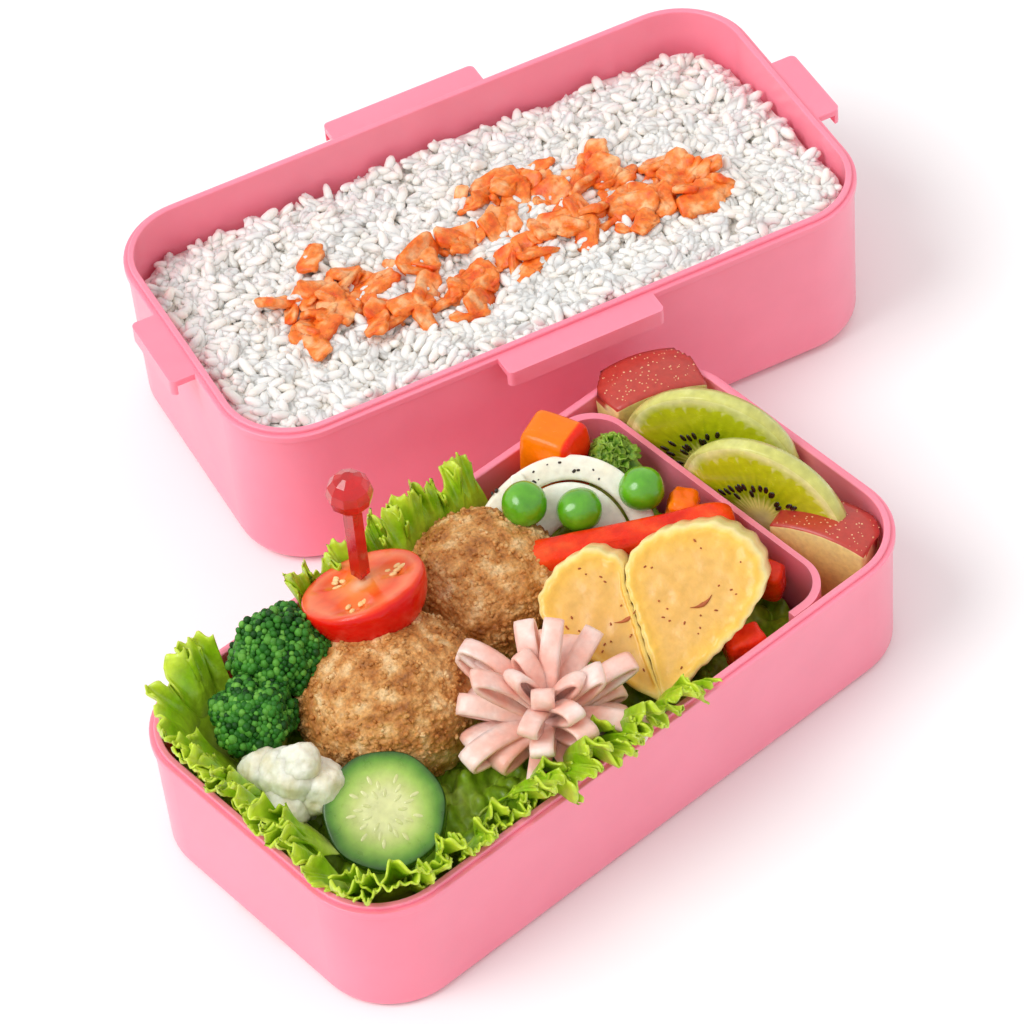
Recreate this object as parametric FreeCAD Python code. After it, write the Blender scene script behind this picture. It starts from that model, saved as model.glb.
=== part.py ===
import FreeCAD, Part

import math
import os

from FreeCAD import Vector

# A filled two-tier lunch box: a shallow lower tier with a loose divider, a deep upper tier that
# stands beside it, and the food in both. Millimetres, +Z up, origin at the middle of the lower
# tier's foot, X along its length, front at -Y.

# Tiers: outside sizes at the rim
TIER_LENGTH = 175.0
TIER_WIDTH = 92.0
TIER_CORNER = 20.0
LOWER_HEIGHT = 36.5
UPPER_HEIGHT = 47.0
WALL = 2.2
FLOOR = 2.2
DRAFT = 0.6
CAVITY_FILLET = 4.0
LOWER_FOOT_FILLET = 2.0
UPPER_FOOT_FILLET = 4.0

# Stepped rim: an outside flange with a shoulder, and an inner lip that stands higher
FLANGE_OUT = 0.6
FLANGE_HEIGHT = 3.0
LIP_WIDTH = 1.6
SHOULDER_DROP = 1.0
RIM_ROUND = 0.4

# Lid catches of the upper tier: a plate level with the shoulder and a lip turned down from it
CATCH_REACH = 6.3
LONG_SIDE_CATCH = 43.0
SHORT_SIDE_CATCH = 24.0
CATCH_PLATE = 1.8
CATCH_DROP = 4.6
CATCH_LIP = 1.6
CATCH_CORNER = 1.5

# Belt notch in the lower tier's foot, at the middle of each short side
NOTCH_WIDTH = 17.0
NOTCH_HEIGHT = 1.4
NOTCH_DEPTH = 2.0

# Where the upper tier stands
UPPER_X = 79.6
UPPER_Y = 101.6
UPPER_TURN = -14.34

# Divider: a plate across the lower tier, bent round at both ends to stand against the walls
DIVIDER_X = 59.7
DIVIDER_THICKNESS = 1.5
DIVIDER_BEND = 9.0
DIVIDER_FLANGE = 4.0
DIVIDER_BELOW_RIM = 0.5

# Clearances: loose pieces to the tiers, and food to food
FIT_GAP = 0.3
FOOD_GAP = 0.3

# Tighter arc of a flattened ball's side, as a share of its half height
ROUND_SHARE = 0.68

# Direction that leaning slices face, as a turn from -Y
FACING = -37.3

# Height that room for food is kept clear to, above the rims
HEADROOM = 60.0

# Rice, level across and higher at the front wall than at the back
RICE_FRONT = 42.5
RICE_BACK = 34.0

# Salmon flakes, laid in a long ring on the rice
FLAKE_COUNT = 14
FLAKE_RADIUS = 8.0
FLAKE_HEIGHT = 4.5
FLAKE_RING_LENGTH = 112.0
FLAKE_RING_WIDTH = 30.0
FLAKE_RING_SHIFT = -5.0

# Lettuce: a bed that the dishes are set into, and frilled leaves that stand on it by the walls
BED_TOP = 30.0
FRILL_THICKNESS = 1.6
FRILL_WAVE = 3.0
FRILL_PITCH = 13.0
FRILL_INSET = 5.6
FRILL_LEFT_TOP = 41.0
FRILL_FRONT_TOP = 40.0
FRILL_BACK_TOP = 44.0

# Croquettes
FRONT_CROQUETTE_RADIUS = 22.5
FRONT_CROQUETTE_HEIGHT = 35.5
FRONT_CROQUETTE_TOP = 46.8
BACK_CROQUETTE_RADIUS = 20.0
BACK_CROQUETTE_HEIGHT = 34.0
BACK_CROQUETTE_TOP = 45.0

# Egg roll: two slices set together as a heart, leaning back
EGG_LEAN = 60.0
EGG_THICKNESS = 16.0
EGG_SPLIT_TURN = 15.8
EGG_LEFT_HALF_WIDTH = 16.0
EGG_LEFT_HALF_HEIGHT = 18.0
EGG_RIGHT_HALF_WIDTH = 16.0
EGG_RIGHT_HALF_HEIGHT = 22.0
EGG_LEFT_CENTRE = (-0.94 * EGG_LEFT_HALF_WIDTH, 1.11 * EGG_LEFT_HALF_HEIGHT)
EGG_RIGHT_CENTRE = (0.47 * EGG_RIGHT_HALF_WIDTH, 1.045 * EGG_RIGHT_HALF_HEIGHT)
EGG_TIP_HEIGHT = 31.5

# Cucumber: one thick slice, leaning back
CUCUMBER_RADIUS = 14.2
CUCUMBER_THICKNESS = 10.0
CUCUMBER_LEAN = 62.0
CUCUMBER_HEIGHT = 30.0
CUCUMBER_EDGE = 1.0

# Ham flower: a core with two rings of petals
HAM_CORE_RADIUS = 9.0
HAM_TOP = 36.0
HAM_PETAL_LENGTH = 14.0
HAM_PETAL_WIDTH = 8.0
HAM_PETAL_THICKNESS = 4.0
HAM_OUTER_PETALS = 8
HAM_INNER_PETALS = 5
HAM_OUTER_RISE = 12.0
HAM_INNER_RISE = 52.0

# Broccoli and cauliflower florets
BACK_BROCCOLI_RADIUS = 11.0
BACK_BROCCOLI_HEIGHT = 39.0
FRONT_BROCCOLI_RADIUS = 9.5
FRONT_BROCCOLI_HEIGHT = 35.0
CAULIFLOWER_RADIUS = 8.5
CAULIFLOWER_HEIGHT = 32.0
BUD_COUNT = 5
BUD_SHARE = 0.5
BUD_TILT = 25.0
STEM_RADIUS = 4.0

# Tomato half, cut face up, with the pick standing in it
TOMATO_RADIUS = 15.5
TOMATO_DEPTH = 14.0
TOMATO_TILT = 20.0
TOMATO_FACE_HEIGHT = 49.5

# Food pick: a faceted ball on a square shaft with a thin spike
PICK_BALL_RADIUS = 5.6
PICK_BALL_HEIGHT = 77.5
PICK_FACETS = 10
PICK_BANDS = 6
PICK_SHAFT = 3.2
PICK_SPIKE_RADIUS = 0.8
PICK_SPIKE_LENGTH = 9.0
PICK_STAND_OFF = 3.0

# Pepper strip, onion, peas and small pieces
STRIP_LENGTH = 56.0
STRIP_WIDTH = 9.0
STRIP_DEPTH = 11.0
STRIP_TOP = 40.5
STRIP_TURN = -30.0
STRIP_ROUND = 1.5
ONION_RADIUS = 15.5
ONION_BAND = 7.0
ONION_THICKNESS = 6.0
ONION_LEAN = 48.0
ONION_HEIGHT = 33.5
PEA_RADIUS = 5.5
PEA_NEST = 4.5
PEA_HEIGHT = STRIP_TOP + PEA_RADIUS - PEA_NEST
CHUNK_SIZE = 13.0
CHUNK_TOP = 47.0
CARROT_SIZE = 9.0
CARROT_TOP = 40.0
PIECE_SIZE = 8.5
PIECE_TOP = 36.0
PARSLEY_RADIUS = 5.0
PARSLEY_HEIGHT = 37.0

# Fruit: upright oval kiwi slices and apple wedges with the skin up
KIWI_HALF_WIDTH = 24.0
KIWI_HALF_HEIGHT = 26.0
KIWI_THICKNESS = 7.0
KIWI_FRONT_TURN = -69.0
KIWI_BACK_TURN = -59.0
APPLE_DEPTH = 42.0
APPLE_BULGE = 2.5
APPLE_LENGTH = 25.0
APPLE_ANGLE = 26.0
APPLE_CORE = 5.0
APPLE_BACK_TURN = -21.0
APPLE_FRONT_TURN = -72.0
APPLE_FRONT_DEPTH = 39.0

# Derived sizes
RIM_WIDTH = FLANGE_OUT + WALL
CAVITY_HALF_LENGTH = TIER_LENGTH / 2 - RIM_WIDTH
CAVITY_HALF_WIDTH = TIER_WIDTH / 2 - RIM_WIDTH
DIVIDER_LEFT = DIVIDER_X - DIVIDER_THICKNESS / 2
DIVIDER_RIGHT = DIVIDER_X + DIVIDER_THICKNESS / 2
DIVIDER_TOP = LOWER_HEIGHT - DIVIDER_BELOW_RIM
RICE_SLOPE = math.degrees(math.atan2(RICE_FRONT - RICE_BACK, 2 * CAVITY_HALF_WIDTH))
RICE_MIDDLE = (RICE_FRONT + RICE_BACK) / 2

ORIGIN = Vector(0, 0, 0)
X_AXIS = Vector(1, 0, 0)
Y_AXIS = Vector(0, 1, 0)
Z_AXIS = Vector(0, 0, 1)


# Shared shapes

def rounded_plan(length, width, radius, z):
    """Wire of a rectangle with round corners, centred on the Z axis."""
    arcs = []
    for quarter, (side_x, side_y) in enumerate(((1, 1), (-1, 1), (-1, -1), (1, -1))):
        centre = Vector(side_x * (length / 2 - radius), side_y * (width / 2 - radius), z)
        arcs.append(Part.makeCircle(radius, centre, Z_AXIS, 90 * quarter, 90 * quarter + 90))
    edges = []
    for quarter in range(4):
        following = arcs[(quarter + 1) % 4]
        edges.append(arcs[quarter])
        edges.append(Part.makeLine(arcs[quarter].Vertexes[-1].Point, following.Vertexes[0].Point))
    return Part.Wire(edges)


def tier_plan(inset, z):
    """The tiers' outline, drawn in from the rim's outside by an inset."""
    return rounded_plan(TIER_LENGTH - 2 * inset, TIER_WIDTH - 2 * inset, TIER_CORNER - inset, z)


def tapered_block(low_inset, low_z, high_inset, high_z):
    return Part.makeLoft([tier_plan(low_inset, low_z), tier_plan(high_inset, high_z)], True, True)


def edges_at(shape, z):
    """Edges that lie wholly at one height."""
    found = []
    for edge in shape.Edges:
        box = edge.BoundBox
        if abs(box.ZMin - z) < 0.001 and abs(box.ZMax - z) < 0.001:
            found.append(edge)
    return found


def cavity(height, gap):
    """The hollow of a tier, drawn in by a gap from its walls and floor."""
    inset = RIM_WIDTH + gap
    bottom = FLOOR + gap
    block = tapered_block(inset + DRAFT, bottom, inset, height)
    return block.makeFillet(CAVITY_FILLET, edges_at(block, bottom))


def food_room(height):
    """The space in a tier that food may fill, with the room above it."""
    above = Part.Face(tier_plan(RIM_WIDTH + FIT_GAP, height)).extrude(Z_AXIS * HEADROOM)
    return cavity(height, FIT_GAP).fuse(above).removeSplitter()


def placed(shape, turn, at):
    shape.rotate(ORIGIN, Z_AXIS, turn)
    shape.translate(at)
    return shape


def facing(shape, lean, at):
    """Turn a shape's +Z face to the viewer's side, at an elevation, and put it in its place."""
    shape.rotate(ORIGIN, X_AXIS, 90 - lean)
    return placed(shape, FACING, at)


def turned_solid(edges):
    """Solid of revolution about Z from a closed profile drawn in XY with Y as its axis."""
    solid = Part.Face(Part.Wire(edges)).revolve(ORIGIN, Y_AXIS, 360)
    solid.rotate(ORIGIN, X_AXIS, 90)
    return solid


def dome_profile(radius, height):
    """Arcs from a flattened dome's top to its equator: a wide arc, then a tighter one beside it."""
    side = ROUND_SHARE * height
    crown = ((radius - side) ** 2 + height ** 2 - side ** 2) / (2 * (height - side))
    middle = Vector(0, height - crown, 0)
    out = (Vector(radius - side, 0, 0) - middle).normalize()
    half_out = (out + Y_AXIS).normalize()
    meeting = middle + out * crown
    side_out = (out + X_AXIS).normalize()
    side_middle = Vector(radius - side, 0, 0)
    wide = Part.Arc(Vector(0, height, 0), middle + half_out * crown, meeting)
    tight = Part.Arc(meeting, side_middle + side_out * side, Vector(radius, 0, 0))
    return [wide.toShape(), tight.toShape()]


def half_spheroid(radius, depth):
    """The lower half of a flattened ball, its flat face up at the origin."""
    edges = dome_profile(radius, depth)
    edges.append(Part.makeLine(Vector(radius, 0, 0), ORIGIN))
    edges.append(Part.makeLine(ORIGIN, Vector(0, depth, 0)))
    half = turned_solid(edges)
    half.rotate(ORIGIN, X_AXIS, 180)
    return half


def spheroid(radius, half_height):
    """A ball that is flattened along Z."""
    upper = dome_profile(radius, half_height)
    edges = list(upper)
    for edge in upper:
        edges.append(edge.mirror(ORIGIN, Y_AXIS))
    edges.append(Part.makeLine(Vector(0, half_height, 0), Vector(0, -half_height, 0)))
    return turned_solid(Part.__sortEdges__(edges))


def oval_slice(half_x, half_y, thickness):
    """An oval disc whose +Z face lies at the origin's height."""
    major = max(half_x, half_y)
    minor = min(half_x, half_y)
    outline = Part.Ellipse(ORIGIN, major, minor).toShape()
    if half_y > half_x:
        outline.rotate(ORIGIN, Z_AXIS, 90)
    return Part.Face(Part.Wire(outline)).extrude(Vector(0, 0, -thickness))


def centred_box(length, width, height, top):
    corner = Vector(-length / 2, -width / 2, top - height)
    return Part.makeBox(length, width, height, corner)


def floret_core(radius, height, gap):
    """A round head on a stem that goes down into the bed."""
    head = Part.makeSphere(radius + gap, Vector(0, 0, height))
    stem_foot = FLOOR + FIT_GAP + CAVITY_FILLET - gap
    stem = Part.makeCylinder(STEM_RADIUS + gap, height - stem_foot, Vector(0, 0, stem_foot))
    return head.fuse(stem)


def floret(radius, height, gap):
    """A head and stem with buds about the head's shoulder."""
    buds = []
    bud = BUD_SHARE * radius
    out = radius * math.cos(math.radians(BUD_TILT))
    for number in range(BUD_COUNT):
        angle = 2 * math.pi * number / BUD_COUNT
        centre = Vector(out * math.cos(angle), out * math.sin(angle), height + radius - bud)
        buds.append(Part.makeSphere(bud + gap, centre))
    return floret_core(radius, height, gap).multiFuse(buds).removeSplitter()


def main_spot(along, across, z=0.0):
    """Place in the main compartment: share of its length from the left, share of its half width."""
    length = DIVIDER_LEFT + CAVITY_HALF_LENGTH
    return Vector(along * length - CAVITY_HALF_LENGTH, across * CAVITY_HALF_WIDTH, z)


def fruit_spot(along, across, z=0.0):
    """Place in the fruit compartment: share of its length from the divider, share of its half width."""
    length = CAVITY_HALF_LENGTH - DIVIDER_RIGHT
    return Vector(DIVIDER_RIGHT + along * length, across * CAVITY_HALF_WIDTH, z)


# Container

def tier_shell(height, foot_fillet):
    """A tier with its drafted walls, round foot and stepped rim."""
    shoulder = height - SHOULDER_DROP
    flange_foot = height - FLANGE_HEIGHT
    body = tapered_block(FLANGE_OUT + DRAFT, 0, FLANGE_OUT, shoulder)
    body = body.makeFillet(foot_fillet, edges_at(body, 0))
    flange = Part.Face(tier_plan(0, flange_foot)).extrude(Z_AXIS * (shoulder - flange_foot))
    flange = flange.makeFillet(RIM_ROUND, edges_at(flange, shoulder) + edges_at(flange, flange_foot))
    lip = Part.Face(tier_plan(RIM_WIDTH - LIP_WIDTH, flange_foot)).extrude(Z_AXIS * FLANGE_HEIGHT)
    shell = body.multiFuse([flange, lip]).cut(cavity(height, 0)).removeSplitter()
    return shell.makeFillet(RIM_ROUND, edges_at(shell, height))


def catch(half_side, length):
    """One lid catch on the +X side: a plate that stands out and a lip turned down from it."""
    top = UPPER_HEIGHT - SHOULDER_DROP
    inside = half_side - FLANGE_OUT
    end = half_side + CATCH_REACH
    plate = Part.makeBox(end - inside, length, CATCH_PLATE, Vector(inside, -length / 2, top - CATCH_PLATE))
    lip_corner = Vector(end - CATCH_LIP, -length / 2, top - CATCH_DROP)
    hook = plate.fuse(Part.makeBox(CATCH_LIP, length, CATCH_DROP, lip_corner)).removeSplitter()
    corners = []
    for edge in hook.Edges:
        box = edge.BoundBox
        if abs(box.XMin - end) < 0.001 and box.YLength < 0.001:
            corners.append(edge)
    return hook.makeFillet(CATCH_CORNER, corners)


def lower_tier():
    shell = tier_shell(LOWER_HEIGHT, LOWER_FOOT_FILLET)
    depth = FLANGE_OUT + DRAFT + NOTCH_DEPTH
    for turn in (0, 180):
        corner = Vector(TIER_LENGTH / 2 - depth, -NOTCH_WIDTH / 2, 0)
        notch = Part.makeBox(depth, NOTCH_WIDTH, NOTCH_HEIGHT, corner)
        notch.rotate(ORIGIN, Z_AXIS, turn)
        shell = shell.cut(notch)
    return shell


def upper_tier():
    shell = tier_shell(UPPER_HEIGHT, UPPER_FOOT_FILLET)
    hooks = []
    for turn in (0, 180):
        short_side = catch(TIER_LENGTH / 2, SHORT_SIDE_CATCH)
        long_side = catch(TIER_WIDTH / 2, LONG_SIDE_CATCH)
        short_side.rotate(ORIGIN, Z_AXIS, turn)
        long_side.rotate(ORIGIN, Z_AXIS, turn + 90)
        hooks.append(short_side)
        hooks.append(long_side)
    return shell.multiFuse(hooks).removeSplitter()


def bent_plan(right, half_width, radius):
    """Filled plan with two round corners at its right end, that runs left past the bends."""
    left = DIVIDER_X - TIER_LENGTH
    wire = rounded_plan(right - left, 2 * half_width, radius, 0)
    wire.translate(Vector((right + left) / 2, 0, 0))
    return Part.Face(wire)


def divider_strip(gap, top):
    """The divider's bent plate, thickened by a gap on both faces, not yet fitted to the walls."""
    wall = CAVITY_HALF_WIDTH - FIT_GAP
    outer = bent_plan(DIVIDER_RIGHT + gap, wall + gap, DIVIDER_BEND + DIVIDER_THICKNESS + gap)
    inner = bent_plan(DIVIDER_LEFT - gap, wall - DIVIDER_THICKNESS - DRAFT - gap, DIVIDER_BEND - gap)
    end = DIVIDER_LEFT - DIVIDER_BEND - DIVIDER_FLANGE - gap
    reach = Part.makeBox(TIER_LENGTH, TIER_WIDTH, top, Vector(end, -TIER_WIDTH / 2, 0))
    return outer.cut(inner).extrude(Z_AXIS * top).common(reach)


def divider():
    strip = divider_strip(0, DIVIDER_TOP).common(cavity(LOWER_HEIGHT, FIT_GAP))
    return strip.Solids[0]


# Filling of the upper tier

def rice():
    block = cavity(UPPER_HEIGHT, FIT_GAP)
    above = Part.makeBox(TIER_LENGTH, 2 * TIER_WIDTH, UPPER_HEIGHT, Vector(-TIER_LENGTH / 2, -TIER_WIDTH, 0))
    above.rotate(ORIGIN, X_AXIS, -RICE_SLOPE)
    above.translate(Vector(0, 0, RICE_MIDDLE))
    return block.cut(above)


def salmon_flakes():
    flakes = []
    for number in range(FLAKE_COUNT):
        angle = 2 * math.pi * number / FLAKE_COUNT
        flake = half_spheroid(FLAKE_RADIUS, FLAKE_HEIGHT)
        flake.rotate(ORIGIN, X_AXIS, 180)
        along = FLAKE_RING_LENGTH / 2 * math.cos(angle)
        across = FLAKE_RING_SHIFT + FLAKE_RING_WIDTH / 2 * math.sin(angle)
        flake.translate(Vector(along, across, 0))
        flake.rotate(ORIGIN, X_AXIS, -RICE_SLOPE)
        flake.translate(Vector(0, 0, RICE_MIDDLE))
        flakes.append(flake)
    return Part.makeCompound(flakes)


# Food of the main compartment. Each maker takes a gap that swells the piece, to make room for it.

def croquette_front(gap):
    half = FRONT_CROQUETTE_HEIGHT / 2
    ball = spheroid(FRONT_CROQUETTE_RADIUS + gap, half + gap)
    return placed(ball, 0, main_spot(0.353, 0.23, FRONT_CROQUETTE_TOP - half))


def croquette_back(gap):
    half = BACK_CROQUETTE_HEIGHT / 2
    ball = spheroid(BACK_CROQUETTE_RADIUS + gap, half + gap)
    return placed(ball, 0, main_spot(0.625, 0.49, BACK_CROQUETTE_TOP - half))


def egg_half(side, centre, half_width, half_height, gap):
    """One egg slice: an oval trimmed along the heart's split, on the side that is asked for."""
    slice_ = oval_slice(half_width + gap, half_height + gap, EGG_THICKNESS + gap)
    slice_.translate(Vector(centre[0], centre[1], gap))
    corner = Vector(FOOD_GAP / 2 - gap, -TIER_WIDTH, -TIER_WIDTH / 2)
    keep = Part.makeBox(TIER_WIDTH, 2 * TIER_WIDTH, TIER_WIDTH, corner)
    if side < 0:
        keep.rotate(ORIGIN, Z_AXIS, 180)
    keep.rotate(ORIGIN, Z_AXIS, EGG_SPLIT_TURN)
    return facing(slice_.common(keep), EGG_LEAN, main_spot(0.663, -0.935, EGG_TIP_HEIGHT))


def egg_roll_left(gap):
    return egg_half(-1, EGG_LEFT_CENTRE, EGG_LEFT_HALF_WIDTH, EGG_LEFT_HALF_HEIGHT, gap)


def egg_roll_right(gap):
    return egg_half(1, EGG_RIGHT_CENTRE, EGG_RIGHT_HALF_WIDTH, EGG_RIGHT_HALF_HEIGHT, gap)


def cucumber_slice(gap):
    disc = Part.makeCylinder(CUCUMBER_RADIUS + gap, CUCUMBER_THICKNESS + 2 * gap)
    disc = disc.makeFillet(CUCUMBER_EDGE, disc.Edges)
    disc.translate(Vector(0, 0, -CUCUMBER_THICKNESS - gap))
    return facing(disc, CUCUMBER_LEAN, main_spot(0.189, -0.35, CUCUMBER_HEIGHT))


def ham_petal(rise, turn, gap):
    """A flat petal with a round end, rising outwards from the flower's middle."""
    width = HAM_PETAL_WIDTH + 2 * gap
    thickness = HAM_PETAL_THICKNESS + 2 * gap
    run = HAM_CORE_RADIUS / 2 + HAM_PETAL_LENGTH - HAM_PETAL_WIDTH / 2
    petal = Part.makeBox(run, width, thickness, Vector(0, -width / 2, -thickness / 2))
    petal = petal.fuse(Part.makeCylinder(width / 2, thickness, Vector(run, 0, -thickness / 2)))
    petal.rotate(ORIGIN, Y_AXIS, -rise)
    petal.rotate(ORIGIN, Z_AXIS, turn)
    return petal


def ham_core(gap):
    """The folded middle of the flower, a cone that stands in the bed."""
    depth = HAM_TOP - BED_TOP + HAM_CORE_RADIUS + gap
    core = Part.makeCone(HAM_CORE_RADIUS / 2 + gap, HAM_CORE_RADIUS + gap, depth, Vector(0, 0, -depth))
    return placed(core, 0, ham_place())


def ham_place():
    return main_spot(0.482, -0.56, HAM_TOP)


def ham_flower(gap):
    petals = []
    for number in range(HAM_OUTER_PETALS):
        petals.append(ham_petal(HAM_OUTER_RISE, 360 / HAM_OUTER_PETALS * number, gap))
    for number in range(HAM_INNER_PETALS):
        petals.append(ham_petal(HAM_INNER_RISE, 360 / HAM_INNER_PETALS * (number + 0.5), gap))
    for petal in petals:
        petal.translate(ham_place())
    return ham_core(gap).multiFuse(petals)


def tomato_half(gap):
    half = half_spheroid(TOMATO_RADIUS + gap, TOMATO_DEPTH + gap)
    return facing(half, 90 + TOMATO_TILT, tomato_place())


def tomato_place():
    return main_spot(0.409, 0.63, TOMATO_FACE_HEIGHT)


def broccoli_back(gap, shape=floret):
    return placed(shape(BACK_BROCCOLI_RADIUS, BACK_BROCCOLI_HEIGHT, gap), 0, main_spot(0.262, 0.7))


def broccoli_front(gap, shape=floret):
    return placed(shape(FRONT_BROCCOLI_RADIUS, FRONT_BROCCOLI_HEIGHT, gap), 20, main_spot(0.15, 0.52))


def cauliflower(gap, shape=floret):
    return placed(shape(CAULIFLOWER_RADIUS, CAULIFLOWER_HEIGHT, gap), 0, main_spot(0.115, 0.12))


def pepper_strip(gap):
    strip = centred_box(STRIP_LENGTH + 2 * gap, STRIP_WIDTH + 2 * gap, STRIP_DEPTH + 2 * gap, STRIP_TOP + gap)
    strip = strip.makeFillet(STRIP_ROUND, strip.Edges)
    return placed(strip, STRIP_TURN, main_spot(0.81, 0.03))


def onion_ring(radius, gap):
    """A standing ring of onion, a band with a hollow middle."""
    outer = Part.makeCylinder(radius + gap, ONION_THICKNESS + 2 * gap)
    inner = Part.makeCylinder(radius - ONION_BAND - gap, ONION_THICKNESS + 2 * gap)
    band = outer.cut(inner)
    band.translate(Vector(0, 0, -ONION_THICKNESS / 2 - gap))
    return facing(band, ONION_LEAN, main_spot(0.815, 0.4, ONION_HEIGHT))


def onion_outer(gap):
    return onion_ring(ONION_RADIUS, gap)


def onion_inner(gap):
    core = Part.makeCylinder(ONION_RADIUS - ONION_BAND - FOOD_GAP + gap, ONION_THICKNESS + 2 * gap)
    core.translate(Vector(0, 0, -ONION_THICKNESS / 2 - gap))
    return facing(core, ONION_LEAN, main_spot(0.815, 0.4, ONION_HEIGHT))


def peas(gap):
    balls = []
    for along, across, rise in ((0.735, 0.53, 2.7), (0.80, 0.33, 0.0), (0.905, 0.20, 0.0)):
        balls.append(Part.makeSphere(PEA_RADIUS + gap, main_spot(along, across, PEA_HEIGHT + rise)))
    return Part.makeCompound(balls)


def standing_chunk(size, top, turn, at, gap):
    """A cut piece that stands upright in the bed."""
    height = top - BED_TOP + size / 2
    block = centred_box(size + 2 * gap, size * 0.8 + 2 * gap, height + 2 * gap, top + gap)
    return placed(block, turn, at)


def pepper_chunk(gap):
    return standing_chunk(CHUNK_SIZE, CHUNK_TOP, 20, main_spot(0.868, 0.78), gap)


def carrot_piece(gap):
    return standing_chunk(CARROT_SIZE, CARROT_TOP, 35, main_spot(0.945, 0.02), gap)


def pepper_pieces(gap):
    right = standing_chunk(PIECE_SIZE, PIECE_TOP, -60, main_spot(0.955, -0.6), gap)
    front = standing_chunk(PIECE_SIZE, PIECE_TOP, -20, main_spot(0.83, -0.87), gap)
    return Part.makeCompound([right, front])


def parsley(gap, shape=floret):
    return placed(shape(PARSLEY_RADIUS, PARSLEY_HEIGHT, gap), 0, main_spot(0.935, 0.56))


def frill(start, end, top, gap):
    """A frilled leaf: a waving band that follows the wall between two angles of the plan."""
    half_x = CAVITY_HALF_LENGTH - FRILL_INSET
    half_y = CAVITY_HALF_WIDTH - FRILL_INSET
    wire = rounded_plan(2 * half_x, 2 * half_y, TIER_CORNER - FRILL_INSET, 0)
    length = wire.Length
    count = int((end - start) * length / (FRILL_PITCH / 4))
    wall = FRILL_THICKNESS / 2 + gap
    outside = []
    inside = []
    points = wire.discretize(Number=int(length) + 1)
    for step in range(count + 1):
        share = start + (end - start) * step / count
        position = (share % 1.0) * (len(points) - 1)
        first = int(position) % (len(points) - 1)
        along = points[first + 1] - points[first]
        across = Vector(along.y, -along.x, 0).normalize()
        wave = FRILL_WAVE * math.sin(math.pi / 2 * step)
        middle = points[first] + along * (position - int(position)) + across * wave
        outside.append(middle + across * wall)
        inside.append(middle - across * wall)
    edges = [wave_edge(outside), Part.makeLine(outside[-1], inside[-1])]
    edges += [wave_edge(inside), Part.makeLine(inside[0], outside[0])]
    leaf = Part.Face(Part.Wire(Part.__sortEdges__(edges))).extrude(Z_AXIS * (top - BED_TOP))
    leaf.translate(Vector(0, 0, BED_TOP))
    return leaf


def wave_edge(points):
    curve = Part.BSplineCurve()
    curve.interpolate(points)
    return curve.toShape()


def lettuce_left(gap):
    return frill(0.345, 0.58, FRILL_LEFT_TOP, gap)


def lettuce_front(gap):
    return frill(0.60, 0.80, FRILL_FRONT_TOP, gap)


def lettuce_back(gap):
    return frill(0.14, 0.27, FRILL_BACK_TOP, gap)


# Fruit

def kiwi(turn, at, gap):
    """An oval slice that stands upright on the floor."""
    disc = oval_slice(KIWI_HALF_WIDTH + gap, KIWI_HALF_HEIGHT + gap, KIWI_THICKNESS + 2 * gap)
    disc.translate(Vector(0, 0, KIWI_THICKNESS / 2 + gap))
    disc.rotate(ORIGIN, X_AXIS, 90)
    return placed(disc, turn, at + Vector(0, 0, FLOOR + FIT_GAP + KIWI_HALF_HEIGHT))


def kiwi_front(gap):
    return kiwi(KIWI_FRONT_TURN, fruit_spot(0.37, -0.2), gap)


def kiwi_back(gap):
    return kiwi(KIWI_BACK_TURN, fruit_spot(0.5, 0.31), gap)


def apple_wedge(depth, turn, at, gap):
    """A wedge that stands on its core edge with the skin up, its length along X before the turn."""
    half = APPLE_LENGTH / 2 + gap
    skin = depth + gap
    corners = [Vector(-half, APPLE_CORE - gap, 0), Vector(-half, skin - APPLE_BULGE, 0)]
    corners += [Vector(0, skin, 0), Vector(half, skin - APPLE_BULGE, 0), Vector(half, APPLE_CORE - gap, 0)]
    edges = [Part.makeLine(corners[0], corners[1])]
    edges.append(Part.Arc(corners[1], corners[2], corners[3]).toShape())
    edges.append(Part.makeLine(corners[3], corners[4]))
    edges.append(Part.makeLine(corners[4], corners[0]))
    wedge = Part.Face(Part.Wire(edges)).revolve(ORIGIN, X_AXIS, APPLE_ANGLE)
    wedge.rotate(ORIGIN, X_AXIS, 90 - APPLE_ANGLE / 2)
    return placed(wedge, turn, at + Vector(0, 0, FLOOR + FIT_GAP - APPLE_CORE))


def apple_front(gap):
    return apple_wedge(APPLE_FRONT_DEPTH, APPLE_FRONT_TURN, fruit_spot(0.4, -0.66), gap)


def apple_back(gap):
    return apple_wedge(APPLE_DEPTH, APPLE_BACK_TURN, fruit_spot(0.5, 0.8), gap)


# Food pick

def pick_place():
    """The pick stands in the tomato, a little behind the middle of its face."""
    back = math.radians(90 + FACING)
    return tomato_place() + Vector(math.cos(back), math.sin(back), 0) * PICK_STAND_OFF


def pick_spike(gap):
    foot = pick_foot() - PICK_SPIKE_LENGTH
    spike = Part.makeCylinder(PICK_SPIKE_RADIUS + gap, PICK_SPIKE_LENGTH + gap, Vector(0, 0, foot - gap))
    return placed(spike, 0, pick_place())


def pick_foot():
    """Height of the shaft's foot over the tomato's face, seen from the face's middle."""
    drop = (PICK_STAND_OFF + PICK_SHAFT) * math.tan(math.radians(TOMATO_TILT))
    return FOOD_GAP + drop - 2 * PICK_STAND_OFF * math.tan(math.radians(TOMATO_TILT))


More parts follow.
